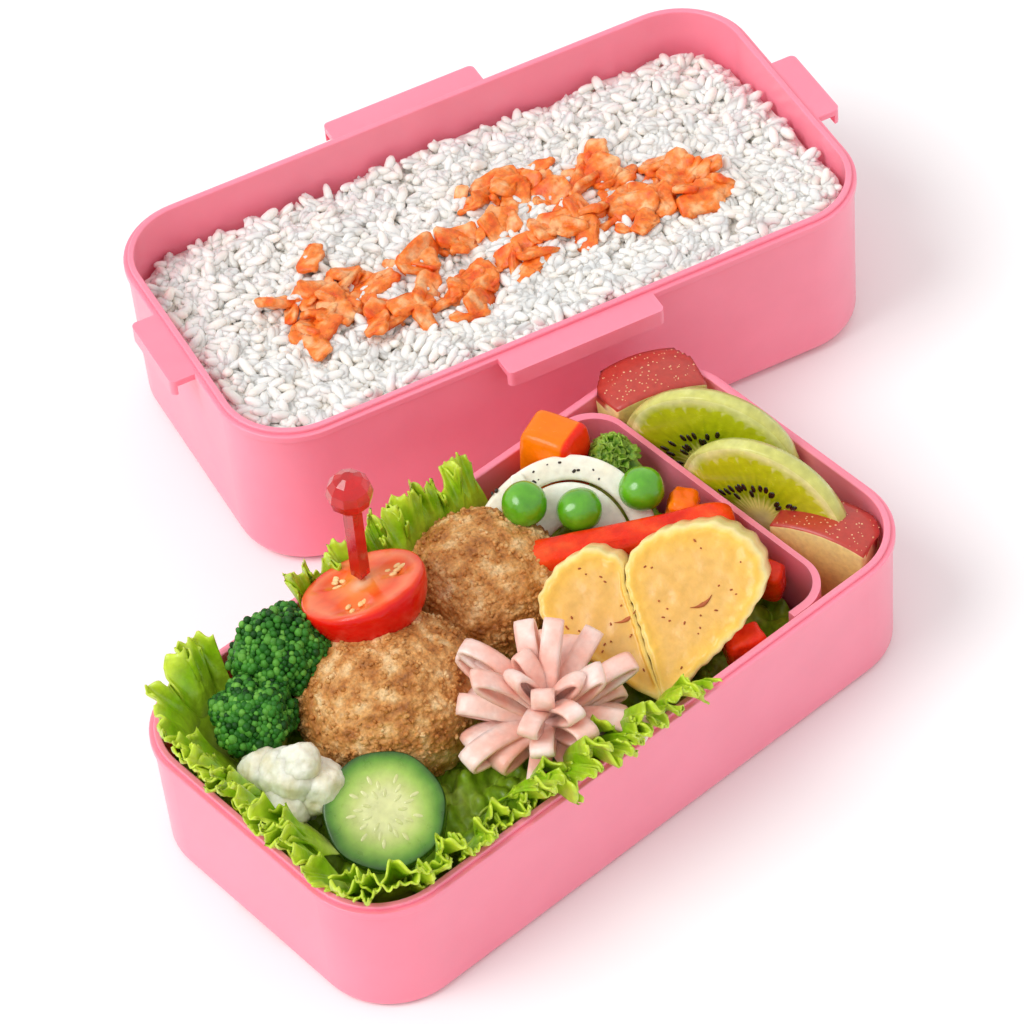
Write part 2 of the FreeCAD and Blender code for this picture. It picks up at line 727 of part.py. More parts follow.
def food_pick():
    centre = PICK_BALL_HEIGHT - TOMATO_FACE_HEIGHT
    rings = []
    for band in range(PICK_BANDS + 1):
        tilt = math.radians(-75 + 150 * band / PICK_BANDS)
        radius = PICK_BALL_RADIUS * math.cos(tilt)
        height = centre + PICK_BALL_RADIUS * math.sin(tilt)
        corners = []
        for number in range(PICK_FACETS + 1):
            angle = 2 * math.pi * number / PICK_FACETS
            corners.append(Vector(radius * math.cos(angle), radius * math.sin(angle), height))
        rings.append(Part.makePolygon(corners))
    ball = Part.makeLoft(rings, True, True)
    foot = pick_foot()
    shaft = centred_box(PICK_SHAFT, PICK_SHAFT, centre - foot, centre)
    shaft.rotate(ORIGIN, Z_AXIS, 45 + FACING)
    pick = placed(ball.fuse(shaft), 0, pick_place())
    return pick.fuse(pick_spike(0)).removeSplitter()


# Assembly

def largest(shape):
    return max(shape.Solids, key=lambda solid: solid.Volume)


def carved(shape, tools):
    """A shape with room cut in it for each tool in turn, as its largest solid."""
    for tool in tools:
        shape = largest(shape.cut(tool))
    return largest(shape)


def set_together(makers, room, extra_cuts):
    """Fit pieces into a room in order: each gives way, with a gap, to those that come before it."""
    shapes = {}
    earlier = []
    for maker in makers:
        raw = maker(0)
        tools = list(extra_cuts.get(maker, []))
        for swollen in earlier:
            if swollen.BoundBox.intersect(raw.BoundBox):
                tools.append(swollen)
        earlier += maker(FOOD_GAP).Solids
        fitted = []
        for solid in raw.Solids:
            fitted.append(carved(solid.common(room), tools))
        shapes[maker.__name__] = fitted[0] if len(fitted) == 1 else Part.makeCompound(fitted)
    return shapes


def lettuce_bed(makers, room):
    """The bed fills the main compartment up to its top, round every piece that is set into it."""
    block = centred_box(TIER_LENGTH, TIER_WIDTH, BED_TOP, BED_TOP).common(room)
    tools = []
    for maker in makers:
        if maker is ham_flower:
            swollen = ham_core(FOOD_GAP)
        elif maker in (broccoli_back, broccoli_front, cauliflower, parsley):
            swollen = maker(FOOD_GAP, floret_core)
        else:
            swollen = maker(FOOD_GAP)
        if swollen.BoundBox.ZMin < BED_TOP:
            tools += swollen.Solids
    return carved(block, tools)


def in_upper_tier(shape):
    return placed(shape, UPPER_TURN, Vector(UPPER_X, UPPER_Y, 0))


def build():
    rooms = food_room(LOWER_HEIGHT).cut(divider_strip(FIT_GAP, LOWER_HEIGHT + HEADROOM)).Solids
    rooms.sort(key=lambda solid: solid.CenterOfMass.x)
    dishes = [peas, croquette_front, croquette_back, egg_roll_right, egg_roll_left, cucumber_slice]
    dishes += [tomato_half, ham_flower, pepper_strip, cauliflower, broccoli_front, broccoli_back]
    dishes += [onion_outer, onion_inner, pepper_chunk, carrot_piece, pepper_pieces, parsley]
    frills = [lettuce_left, lettuce_front, lettuce_back]
    fruit = [kiwi_front, kiwi_back, apple_front, apple_back]

    nodes = {"lower_tier": lower_tier(), "divider": divider(), "food_pick": food_pick()}
    nodes.update(set_together(dishes + frills, rooms[0], {tomato_half: [pick_spike(FOOD_GAP)]}))
    nodes["lettuce_bed"] = lettuce_bed(dishes, rooms[0])
    nodes.update(set_together(fruit, rooms[-1], {}))
    nodes["upper_tier"] = in_upper_tier(upper_tier())
    nodes["rice"] = in_upper_tier(rice())
    nodes["salmon_flakes"] = in_upper_tier(salmon_flakes())
    return nodes


os.makedirs("parts", exist_ok=True)
for name, shape in build().items():
    shape.exportStep(os.path.join("parts", name + ".step"))
    print(name, len(shape.Solids), round(shape.Volume), shape.isValid())
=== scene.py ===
import random
from math import atan2, cos, degrees, exp, hypot, pi, radians, sin, sqrt

import bmesh
import bpy
import numpy as np
from mathutils import Matrix, Quaternion, Vector, noise


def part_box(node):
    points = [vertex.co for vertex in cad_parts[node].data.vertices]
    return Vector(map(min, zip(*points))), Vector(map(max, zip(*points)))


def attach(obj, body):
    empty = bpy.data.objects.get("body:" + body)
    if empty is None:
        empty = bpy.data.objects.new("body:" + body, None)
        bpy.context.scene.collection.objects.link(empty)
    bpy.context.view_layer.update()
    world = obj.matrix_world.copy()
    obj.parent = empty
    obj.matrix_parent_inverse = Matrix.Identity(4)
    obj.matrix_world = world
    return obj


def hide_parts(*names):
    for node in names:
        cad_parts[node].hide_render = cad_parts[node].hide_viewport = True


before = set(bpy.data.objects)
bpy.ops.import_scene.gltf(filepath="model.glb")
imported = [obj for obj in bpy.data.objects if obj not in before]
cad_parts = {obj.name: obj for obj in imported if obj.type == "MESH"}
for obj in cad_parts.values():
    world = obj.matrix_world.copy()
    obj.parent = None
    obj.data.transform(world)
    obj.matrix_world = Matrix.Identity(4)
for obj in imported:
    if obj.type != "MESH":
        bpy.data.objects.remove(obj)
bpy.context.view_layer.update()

MM = 0.001
FULL_TURN = 2 * pi
QUARTER_TURN = pi / 2
SPIRAL_TURN = 2.4
DICE = random.Random(20)

# Camera at the photograph's angle
AZIMUTH = -37.3
ELEVATION = 46.85
ROLL = 5.96
TARGET = Vector((0.0421, 0.0561, 0.0))
DISTANCE = 1.275
LENS = 180.3
SENSOR_WIDTH = 36.0

# Container that the pieces are placed in; lengths are in millimetres
TIER_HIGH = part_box("lower_tier")[1] / MM
RIM_WIDTH = 2.8
HALF_LENGTH = TIER_HIGH.x - RIM_WIDTH
HALF_WIDTH = TIER_HIGH.y - RIM_WIDTH
CORNER = 17.0
DIVIDER_THICKNESS = 1.5
DIVIDER_RIGHT = (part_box("divider")[1] / MM).x
DIVIDER_LEFT = DIVIDER_RIGHT - DIVIDER_THICKNESS
UPPER_MIDDLE = (79.6, 101.6, 0)
UPPER_TURN = -14.34
UPPER_PLACE = Matrix.Translation(UPPER_MIDDLE) @ Matrix.Rotation(radians(UPPER_TURN), 4, "Z")

# Rice and salmon; lengths are in millimetres
RICE_FRONT = 42.5
RICE_BACK = 34.0
RICE_SINK = 1.4
RICE_FOOT = 2.8
RICE_DEPTH = 34.0
GRAINS_PER_LAYER = 2450
SALMON_FLAKES = 190
SALMON_REACH = 57
SALMON_SPREAD = 15
SALMON_MIDDLE = -5

# Lettuce and croquettes; lengths are in millimetres
LEAF_COLUMNS = 360
LEAF_ROWS = 22
LEAF_THICKNESS = 0.5
LEAF_EDGE_FROM = 0.45
FLOOR_LEAF_HEIGHT = 20.5
FLOOR_LEAF_RIM = 21.0
FLOOR_LEAF_INSET = 1.2
CRUMBS = 1200

# Other food of the main compartment; lengths are in millimetres
FLAT_SHARE = 0.97
TOMATO_RADIUS = 15.4
TOMATO_DEPTH = 14
TOMATO_POCKETS = 3
TOMATO_POCKET_TURN = 0.7
TOMATO_POCKET_DEPTH = 1.6
CUCUMBER_RADIUS = 14.2
CUCUMBER_LENGTH = 10.0
CUCUMBER_SEEDS = 27
HAM_THICKNESS = 1.3
EGG_SLANT = 0.36
EGG_THICKNESS = 15.6
EGG_FOLD_RADIUS = 5.0
EGG_FOLD_TURN = 0.6
STRIP_BEND = 0.0016
CHUNK_HALF_WIDTH = 7.2
ONION_FROM = -15
ONION_SWEEP = 205
ONION_HALF_WIDTH = 2.4
ONION_PEPPER_RADIUS = 20.0
PEA_HEIGHT = 41.5
PARSLEY_LEAVES = 34

# Fruit; lengths are in millimetres
KIWI_RADII = (22.6, 23.6)
KIWI_THICKNESS = 4.2
KIWI_SEED_REACH = 24
KIWI_SEEDS = 52
APPLE_HALF_LENGTH = 12.3
APPLE_HALF_ANGLE = radians(10.5)
APPLE_BULGE = 2.5
APPLE_CORE = 5
APPLE_SKIN = 0.8
APPLE_ROWS = 30
APPLE_SPECKS = 90

# Materials; lengths are in metres
TINT_WANDER = 0.16
GLOSS_SPREAD = 0.12
GLOSS_LEAST = 0.02
BUMP_DEPTH = 0.0006
COAT_ROUGHNESS = 0.15
SOFT_DEPTH = 0.002
SOFT_COLOUR = (1.0, 0.85, 0.75)

# Stage; lengths are in metres
FLOOR_SIZE = 6.0
FLOOR_DROP = 0.0002
FLOOR_COLOUR = (0.96, 0.96, 0.96, 1)
FLOOR_ROUGHNESS = 0.9
ROOM_LIGHT = 0.84
WINDOW_LIGHT = 1.5
WINDOW_SPREAD = 35
WINDOW_DIRECTION = Vector((0.75, -0.25, -0.9))


# Places

def main_spot(along, across, z=0.0):
    """Place in the main compartment: share of its length from the left, share of its half width."""
    return Vector((along * (DIVIDER_LEFT + HALF_LENGTH) - HALF_LENGTH, across * HALF_WIDTH, z))


def fruit_spot(along, across, z=0.0):
    """Place in the fruit compartment: share of its length from the divider, share of its half width."""
    return Vector((DIVIDER_RIGHT + along * (HALF_LENGTH - DIVIDER_RIGHT), across * HALF_WIDTH, z))


def rotation(angle, axis):
    """A turn by an angle in degrees."""
    return Matrix.Rotation(radians(angle), 4, axis)


def turned(turn, at, tilt=0.0):
    """Tilted about X, then turned about Z, then put in its place."""
    return Matrix.Translation(at) @ rotation(turn, "Z") @ rotation(tilt, "X")


def facing(lean, at):
    """A face that is drawn with +Z up turns to the camera's side, at an elevation."""
    return turned(AZIMUTH, at, 90 - lean)


def polar(reach, angle, z):
    return reach * cos(angle), reach * sin(angle), z


def in_plan(x, y, inset):
    """True inside the tiers' hollow, with its round corners."""
    reach_x = max(abs(x) - (HALF_LENGTH - CORNER), 0)
    reach_y = max(abs(y) - (HALF_WIDTH - CORNER), 0)
    return hypot(reach_x, reach_y) <= CORNER - inset


def kept_in(part, gap=0.5, wall_gap=1.0, foot=8.0, foot_slope=0.3):
    """Pull what lies below the rim back from the walls and the divider of the main compartment."""
    points, faces, tints = part
    for point in points:
        if point[2] < TIER_HIGH.z + gap:
            point[0] = min(point[0], DIVIDER_LEFT - gap)
            inset = wall_gap + max(foot - point[2], 0) * foot_slope
            while not in_plan(point[0], point[1], inset):
                point[:2] *= 0.99
    return points, faces, tints


def clipped(point, divider_gap=0.35, wall_gap=0.9, foot_gap=3.0, foot=6):
    """Keep a point of fruit inside its compartment, clear of the divider and the walls."""
    point.x = max(point.x, DIVIDER_RIGHT + divider_gap)
    inset = wall_gap if point.z > foot else foot_gap
    while not in_plan(point.x, point.y, inset) and point.z < TIER_HIGH.z + 1:
        point.x -= 0.3
        point.y *= 0.99
    return point[:]


# Meshes: a part is a list of points in millimetres, a list of faces and a list of tints

def moved(part, matrix):
    points, faces, tints = part
    grid = np.array(matrix)
    return points @ grid[:3, :3].T + grid[:3, 3], faces, tints


def joined(parts):
    points = []
    faces = []
    tints = []
    start = 0
    for more_points, more_faces, more_tints in parts:
        points.append(more_points)
        faces += [tuple(index + start for index in face) for face in more_faces]
        tints.append(more_tints)
        start += len(more_points)
    return np.concatenate(points), faces, np.concatenate(tints)


def piece(name, part, material, body, node=None):
    """Make a part into an object that rides on a body, and stands for a node where one is given."""
    points, faces, tints = part
    mesh = bpy.data.meshes.new(name)
    mesh.from_pydata((points * MM).tolist(), [], faces)
    layer = mesh.attributes.new("tint", "FLOAT", "POINT")
    layer.data.foreach_set("value", np.asarray(tints, dtype=np.float32))
    mesh.polygons.foreach_set("use_smooth", [True] * len(mesh.polygons))
    mesh.materials.append(material)
    mesh.update()
    thing = bpy.data.objects.new(name, mesh)
    bpy.context.collection.objects.link(thing)
    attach(thing, body)
    if node:
        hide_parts(node)


def dish(name, part, material, node=None):
    """A piece of the food in the main compartment."""
    piece(name, part, material, "side_dishes", node)


BALLS = {}


def ball(level):
    """A round ball of radius 1, made once for each level of detail."""
    if level not in BALLS:
        work = bmesh.new()
        bmesh.ops.create_icosphere(work, subdivisions=level, radius=1.0)
        points = np.array([vertex.co[:] for vertex in work.verts])
        faces = [tuple(vertex.index for vertex in face.verts) for face in work.faces]
        work.free()
        BALLS[level] = (points, faces)
    points, faces = BALLS[level]
    return points.copy(), faces


def rough(points, scale, depth, seed=0.0):
    """Noise at each point, for a bump of that depth in millimetres."""
    shift = Vector((seed, 2 * seed, -seed))
    return np.array([depth * noise.noise(Vector(point) / scale + shift) for point in points])


def lump(radii, level=4, power=1.0, bumps=(), seed=0.0, tint=0.0):
    """A ball, or a block with round corners where power is under 1, with layers of noise on it."""
    points, faces = ball(level)
    shaped = np.sign(points) * np.abs(points) ** power
    shaped *= np.array(radii)
    for scale, depth in bumps:
        shaped += points * rough(shaped, scale, depth, seed)[:, None]
    return shaped, faces, np.full(len(shaped), tint)


def seed(radii, place, reach, angle, z):
    """A small grain that points away from the middle of a face."""
    return moved(lump(radii, 2), place @ turned(degrees(angle), polar(reach, angle, z)))


def grid_faces(rows, columns, closed=False):
    faces = []
    for row in range(rows - 1):
        for column in range(columns if closed else columns - 1):
            right = (column + 1) % columns
            faces.append((row * columns + column, row * columns + right,
                          (row + 1) * columns + right, (row + 1) * columns + column))
    return faces


def tube_faces(rows, columns):
    """Faces of a tube of rings, closed at both ends."""
    faces = grid_faces(rows, columns, True)
    last = (rows - 1) * columns
    faces.append(tuple(reversed(range(columns))))
    faces.append(tuple(range(last, last + columns)))
    return faces


def lathe(profile, outline, segments=96):
    """Rings from the middle of a top face, over the edge and to the middle of the back.

    The profile gives each ring's share of the outline, height and tint."""
    points = []
    tints = []
    for share, z, tint in profile:
        for step in range(segments):
            angle = FULL_TURN * step / segments
            reach = outline(angle) * max(share, 0.001)
            points.append(polar(reach, angle, z))
            tints.append(tint)
    faces = [face[::-1] for face in tube_faces(len(profile), segments)]
    return np.array(points), faces, np.array(tints)


def flat_rings(rings, edge_tint):
    """Rings of a flat face, whose tint runs from 0 in the middle to the edge's."""
    return [(step / rings * FLAT_SHARE, 0.0, edge_tint * step / rings) for step in range(rings + 1)]


def slab_profile(thickness, edge, rings=24, edge_steps=5):
    """A flat face with a round edge of tint 1 and a flat back."""
    profile = flat_rings(rings, 0.9)
    for step in range(1, edge_steps + 1):
        angle = QUARTER_TURN * step / edge_steps
        share = FLAT_SHARE + (1 - FLAT_SHARE) * sin(angle)
        profile.append((share, -edge * (1 - cos(angle)), 1.0))
    profile.append((1.0, -thickness + edge, 1.0))
    profile.append((FLAT_SHARE, -thickness, 1.0))
    profile.append((0.0, -thickness, 0.5))
    return profile


def band(path, width, thickness):
    """A flat strip along a path in the XZ plane, with thinner edges, as wide along Y as it is told."""
    sides = (-1, -0.6, 0, 0.6, 1)
    section = [(side, -1) for side in sides] + [(side, 1) for side in reversed(sides)]
    points = []
    for number, (x, z) in enumerate(path):
        before = path[max(number - 1, 0)]
        after = path[min(number + 1, len(path) - 1)]
        along = Vector((after[0] - before[0], after[1] - before[1])).normalized()
        for side, out in section:
            thin = thickness / 2 * out * (0.7 if abs(side) == 1 else 1.0)
            points.append((x - along.y * thin, side * width / 2, z + along.x * thin))
    return np.array(points), tube_faces(len(path), len(section)), np.zeros(len(points))


def doubled(points, tints, rows, columns):
    """Give a sheet of points a second side and an edge, so that it is a thin closed leaf."""
    net = points.reshape(rows, columns, 3)
    normal = np.cross(np.gradient(net, axis=1), np.gradient(net, axis=0)).reshape(-1, 3)
    normal /= np.linalg.norm(normal, axis=1)[:, None] + 1e-9
    count = len(points)
    both = np.concatenate([points, points + normal * LEAF_THICKNESS])
    sheet = grid_faces(rows, columns)
    faces = [face[::-1] for face in sheet]
    faces += [tuple(index + count for index in face) for face in sheet]
    rim = list(range(columns)) + [row * columns + columns - 1 for row in range(1, rows)]
    rim += list(range(rows * columns - 2, (rows - 1) * columns - 1, -1))
    rim += [row * columns for row in range(rows - 2, 0, -1)]
    for here, there in zip(rim, rim[1:] + rim[:1]):
        faces.append((here, there, there + count, here + count))
    return both, faces, np.concatenate([tints, tints])


def smooth_loop(corners, count):
    """A closed curve through the corners, as points."""
    ring = [Vector(corner) for corner in corners]
    points = []
    for number in range(len(ring)):
        before, here, there, after = [ring[(number + step) % len(ring)] for step in (-1, 0, 1, 2)]
        for step in range(count):
            share = step / count
            push = (there - before) * share + (2 * before - 5 * here + 4 * there - after) * share ** 2
            points.append(here + 0.5 * (push + (3 * here - before - 3 * there + after) * share ** 3))
    return points


def loop_outline(points, middle):
    """Reach of a closed curve from a point inside it, by angle."""
    turns = np.array([atan2(point.y - middle.y, point.x - middle.x) for point in points])
    reaches = np.array([(point - middle).length for point in points])
    order = np.argsort(turns)
    return lambda angle: float(np.interp(angle, turns[order], reaches[order], period=FULL_TURN))


# Materials

def linear(*colour):
    """A screen colour, with channels of 0 to 255, as the linear colour that the nodes take."""
    channels = []
    for value in colour:
        bright = ((value / 255 + 0.055) / 1.055) ** 2.4
        channels.append(bright if value > 10 else value / 3300)
    return channels + [1.0]


def set_inputs(node, values):
    for name, value in values.items():
        node.inputs[name].default_value = value


def noise_node(tree, scale, detail):
    """Noise in the object's own space."""
    where = tree.nodes.new("ShaderNodeTexCoord")
    texture = tree.nodes.new("ShaderNodeTexNoise")
    set_inputs(texture, {"Scale": scale, "Detail": detail})
    tree.links.new(where.outputs["Object"], texture.inputs["Vector"])
    return texture.outputs["Fac"]


def wandering_tint(tree, scale):
    """The mesh's tint, shifted to and fro by noise."""
    tint = tree.nodes.new("ShaderNodeAttribute")
    tint.attribute_name = "tint"
    wander = tree.nodes.new("ShaderNodeMath")
    wander.operation = "MULTIPLY_ADD"
    wander.inputs[1].default_value = TINT_WANDER
    tree.links.new(noise_node(tree, scale, 3.0), wander.inputs[0])
    tree.links.new(tint.outputs["Fac"], wander.inputs[2])
    centred = tree.nodes.new("ShaderNodeMath")
    centred.operation = "SUBTRACT"
    centred.inputs[1].default_value = TINT_WANDER / 2
    tree.links.new(wander.outputs[0], centred.inputs[0])
    return centred.outputs[0]


def ramp_node(tree, stops, along):
    """Colours at stops along a value."""
    ramp = tree.nodes.new("ShaderNodeValToRGB")
    while len(ramp.color_ramp.elements) < len(stops):
        ramp.color_ramp.elements.new(0.5)
    for element, (position, colour) in zip(ramp.color_ramp.elements, stops):
        element.position = position
        element.color = linear(*colour)
    tree.links.new(along, ramp.inputs["Fac"])
    return ramp.outputs["Color"]


def range_node(tree, value, low, high, from_low=0.0, from_high=1.0):
    """A value of one range spread over another."""
    node = tree.nodes.new("ShaderNodeMapRange")
    set_inputs(node, {"From Min": from_low, "From Max": from_high, "To Min": low, "To Max": high})
    tree.links.new(value, node.inputs["Value"])
    return node.outputs[0]


def surface(name, stops, by_tint=False, scale=200.0, mottle=0.25, mottle_scale=600.0, rough_mid=0.45,
            bump=0.2, bump_scale=900.0, coat=0.0, soft=0.0, clear=0.0, shine=0.5):
    """Colour from a ramp along noise or the tint, mottled by finer noise, with its own bump."""
    material = bpy.data.materials.new(name)
    material.use_nodes = True
    tree = material.node_tree
    shader = tree.nodes["Principled BSDF"]
    along = wandering_tint(tree, scale) if by_tint else noise_node(tree, scale, 4.0)
    fine = noise_node(tree, mottle_scale, 5.0)
    shade = tree.nodes.new("ShaderNodeVectorMath")
    shade.operation = "SCALE"
    tree.links.new(ramp_node(tree, stops, along), shade.inputs[0])
    brightness = range_node(tree, fine, 1.0 - mottle, 1.0 + mottle * 0.4, 0.3, 0.7)
    tree.links.new(brightness, shade.inputs["Scale"])
    tree.links.new(shade.outputs[0], shader.inputs["Base Color"])
    gloss = range_node(tree, fine, max(rough_mid - GLOSS_SPREAD, GLOSS_LEAST), rough_mid + GLOSS_SPREAD)
    tree.links.new(gloss, shader.inputs["Roughness"])
    relief = tree.nodes.new("ShaderNodeBump")
    set_inputs(relief, {"Strength": bump, "Distance": BUMP_DEPTH})
    tree.links.new(noise_node(tree, bump_scale, 4.0), relief.inputs["Height"])
    tree.links.new(relief.outputs[0], shader.inputs["Normal"])
    set_inputs(shader, {"Specular IOR Level": shine, "Transmission Weight": clear,
                        "Coat Weight": coat, "Coat Roughness": COAT_ROUGHNESS,
                        "Subsurface Weight": soft, "Subsurface Scale": SOFT_DEPTH,
                        "Subsurface Radius": SOFT_COLOUR})
    return material


def small_look(name, dark, light, mottle, rough_mid, coat=0.0):
    """Two colours, for seeds, specks and folds."""
    return surface(name, [(0.3, dark), (0.7, light)], mottle=mottle, rough_mid=rough_mid, coat=coat)


# Container

def pink_plastic():
    stops = [(0.3, (254, 137, 160)), (0.7, (255, 147, 169))]
    return surface("pink_plastic", stops, scale=12.0, mottle=0.05, mottle_scale=60.0, rough_mid=0.34,
                   bump=0.04, bump_scale=1800.0, coat=0.2, soft=0.35)


def clear_red_plastic():
    stops = [(0.3, (205, 6, 12)), (0.7, (250, 24, 30))]
    return surface("clear_red_plastic", stops, scale=90.0, mottle=0.1, rough_mid=0.14, bump=0.03,
                   coat=0.5, clear=0.55)


def dress(node, material):
    """Give a CAD solid that shows as it is a material."""
    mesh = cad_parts[node].data
    mesh.materials.clear()
    mesh.materials.append(material)


def dress_container():
    plastic = pink_plastic()
    for node in ("lower_tier", "upper_tier", "divider"):
        dress(node, plastic)
    dress("food_pick", clear_red_plastic())


# Upper tier's filling

def cooked_rice():
    stops = [(0.3, (243, 235, 224)), (0.6, (251, 247, 241))]
    return surface("cooked_rice", stops, scale=150.0, mottle=0.05, rough_mid=0.34, bump=0.1,
                   coat=0.15, soft=0.5)


def rice_height(x, y):
    """Height of the rice: a slope to the back, with broad and small swells."""
    slope = (RICE_FRONT - RICE_BACK) / (2 * HALF_WIDTH)
    broad = noise.noise(Vector((x / 24, y / 24, 3.0))) * 2.6
    small = noise.noise(Vector((x / 9, y / 9, 8.0))) * 2.2
    return (RICE_FRONT + RICE_BACK) / 2 - slope * y + (broad + small)


def rice_outline(angle, step=0.5, inset=0.8):
    """Reach from the middle of the tier to its walls, by angle."""
    reach = 0.0
    while in_plan((reach + step) * cos(angle), (reach + step) * sin(angle), inset):
        reach += step
    return reach


def make_rice_bed(white):
    rings = 40
    edge = 0.995
    profile = [(step / rings * edge, 0.0, 0.0) for step in range(rings + 1)]
    profile += [(edge, -30.0, 0.0), (0.9, -RICE_DEPTH, 0.0), (0.0, -RICE_DEPTH, 0.0)]
    points, faces, tints = lathe(profile, rice_outline, 180)
    for point in points:
        point[2] = max(point[2] + rice_height(point[0], point[1]) - RICE_SINK, RICE_FOOT)
    piece("rice_bed", moved((points, faces, tints), UPPER_PLACE), white, "rice", "rice")


def make_rice_layer(layer, level, low, high, white):
    """Loose grains that lie between two heights about the top of the bed."""
    grains = []
    while len(grains) < GRAINS_PER_LAYER:
        x = DICE.uniform(-HALF_LENGTH, HALF_LENGTH)
        y = DICE.uniform(-HALF_WIDTH, HALF_WIDTH)
        if not in_plan(x, y, 3.4):
            continue
        radii = (DICE.uniform(2.9, 3.7), DICE.uniform(1.15, 1.45), DICE.uniform(1.05, 1.3))
        grain = lump(radii, level, power=0.9)
        at = (x, y, rice_height(x, y) + DICE.uniform(low, high))
        pitch = rotation(DICE.gauss(0, 20), "Y")
        place = turned(DICE.uniform(0, 180), at, DICE.uniform(-25, 25)) @ pitch
        grains.append(moved(grain, UPPER_PLACE @ place))
    piece("rice_grains_" + layer, joined(grains), white, "rice")


def make_rice():
    white = cooked_rice()
    make_rice_bed(white)
    make_rice_layer("lower", 1, -1.8, -0.4, white)
    make_rice_layer("upper", 2, -0.8, 0.9, white)


def salmon():
    stops = [(0.32, (238, 88, 10)), (0.5, (252, 134, 44)), (0.66, (255, 190, 132))]
    return surface("salmon", stops, scale=230.0, mottle_scale=900.0, rough_mid=0.4, bump=0.4, soft=0.15)


def make_salmon():
    flakes = []
    while len(flakes) < SALMON_FLAKES:
        along = DICE.uniform(-1, 1)
        across = DICE.gauss(0, 0.55)
        if abs(across) < 0.28 and abs(along) < 0.72 and DICE.random() < 0.75:
            continue
        x = SALMON_REACH * along
        taper = sqrt(1 - 0.75 * along * along)
        y = SALMON_MIDDLE + SALMON_SPREAD * across * taper + 4.0 * sin(along * 5)
        size = DICE.uniform(1.4, 4.8)
        radii = (size * 1.4, size * 0.8, size * 0.26)
        flake = lump(radii, 3, power=0.5, bumps=((2.6, 1.1), (0.8, 0.35)), seed=len(flakes))
        at = (x, y, rice_height(x, y) + DICE.uniform(0.6, 2.6))
        pitch = rotation(DICE.gauss(0, 20), "Y")
        place = turned(DICE.gauss(20, 45), at, DICE.gauss(0, 25)) @ pitch
        flakes.append(moved(flake, UPPER_PLACE @ place))
    piece("salmon_flakes_loose", joined(flakes), salmon(), "rice", "salmon_flakes")


# Croquettes

def fried_crumb():
    stops = [(0.3, (164, 96, 34)), (0.43, (200, 130, 60)), (0.55, (224, 164, 94)), (0.7, (246, 208, 152))]
    return surface("fried_crumb", stops, scale=210.0, mottle=0.35, mottle_scale=1400.0, rough_mid=0.55,
                   bump=0.6, bump_scale=1800.0)


def make_croquette(node, radius, half, top, at, crust):
    """A ball with a rough crust and loose crumbs on it."""
    bumps = ((16.0, 0.6), (5.0, 0.6), (1.5, 0.5), (0.8, 0.4))
    core = lump((radius, radius, half), 7, power=0.95, bumps=bumps, seed=radius)
    points = core[0]
    parts = [core]
    for number in DICE.sample(range(len(points)), CRUMBS):
        crumb = lump([DICE.uniform(0.3, 0.8) for side in range(3)], 2, power=0.8)
        parts.append(moved(crumb, turned(DICE.uniform(0, 360), points[number], DICE.uniform(0, 90))))
    place = turned(0, main_spot(*at, top - half))
    dish(node + "_crust", moved(joined(parts), place), crust, node)


def make_croquettes():
    crust = fried_crumb()
    make_croquette("croquette_front", 22.3, 17.6, 46.8, (0.353, 0.23), crust)
    make_croquette("croquette_back", 19.8, 16.8, 45.0, (0.625, 0.49), crust)


# Lettuce

def lettuce():
    stops = [(0.0, (218, 228, 132)), (0.3, (176, 210, 46)), (0.65, (144, 194, 12)), (1.0, (202, 226, 56))]
    return surface("lettuce", stops, True, scale=160.0, mottle=0.28, mottle_scale=330.0, rough_mid=0.34,
                   bump=0.6, bump_scale=420.0, coat=0.2, soft=0.15)


def lettuce_shade():
    stops = [(0.3, (96, 132, 16)), (0.5, (148, 188, 34)), (0.7, (190, 216, 84))]
    return surface("lettuce_shade", stops, scale=110.0, mottle=0.3, rough_mid=0.4, bump=0.5, bump_scale=300.0)


def wall_point(share, inset):
    """Point and outward direction on a round-cornered loop inside the walls, by share of its length."""
    half_x = HALF_LENGTH - inset
    half_y = HALF_WIDTH - inset
    radius = CORNER - inset
    straight_x = 2 * (half_x - radius)
    straight_y = 2 * (half_y - radius)
    arc = QUARTER_TURN * radius
    left = (share % 1.0) * (2 * straight_x + 2 * straight_y + 4 * arc)
    corners = ((1, 1), (-1, 1), (-1, -1), (1, -1))
    for quarter, (sign_x, sign_y) in enumerate(corners):
        centre = Vector((sign_x * (half_x - radius), sign_y * (half_y - radius), 0))
        if left <= arc:
            angle = QUARTER_TURN * quarter + left / radius
            out = Vector((cos(angle), sin(angle), 0))
            return centre + out * radius, out
        left -= arc
        run = straight_x if quarter % 2 == 0 else straight_y
        angle = QUARTER_TURN * (quarter + 1)
        out = Vector((cos(angle), sin(angle), 0))
        if left <= run:
            return centre + out * radius + Vector((-out.y, out.x, 0)) * left, out
        left -= run
    return wall_point(0, inset)


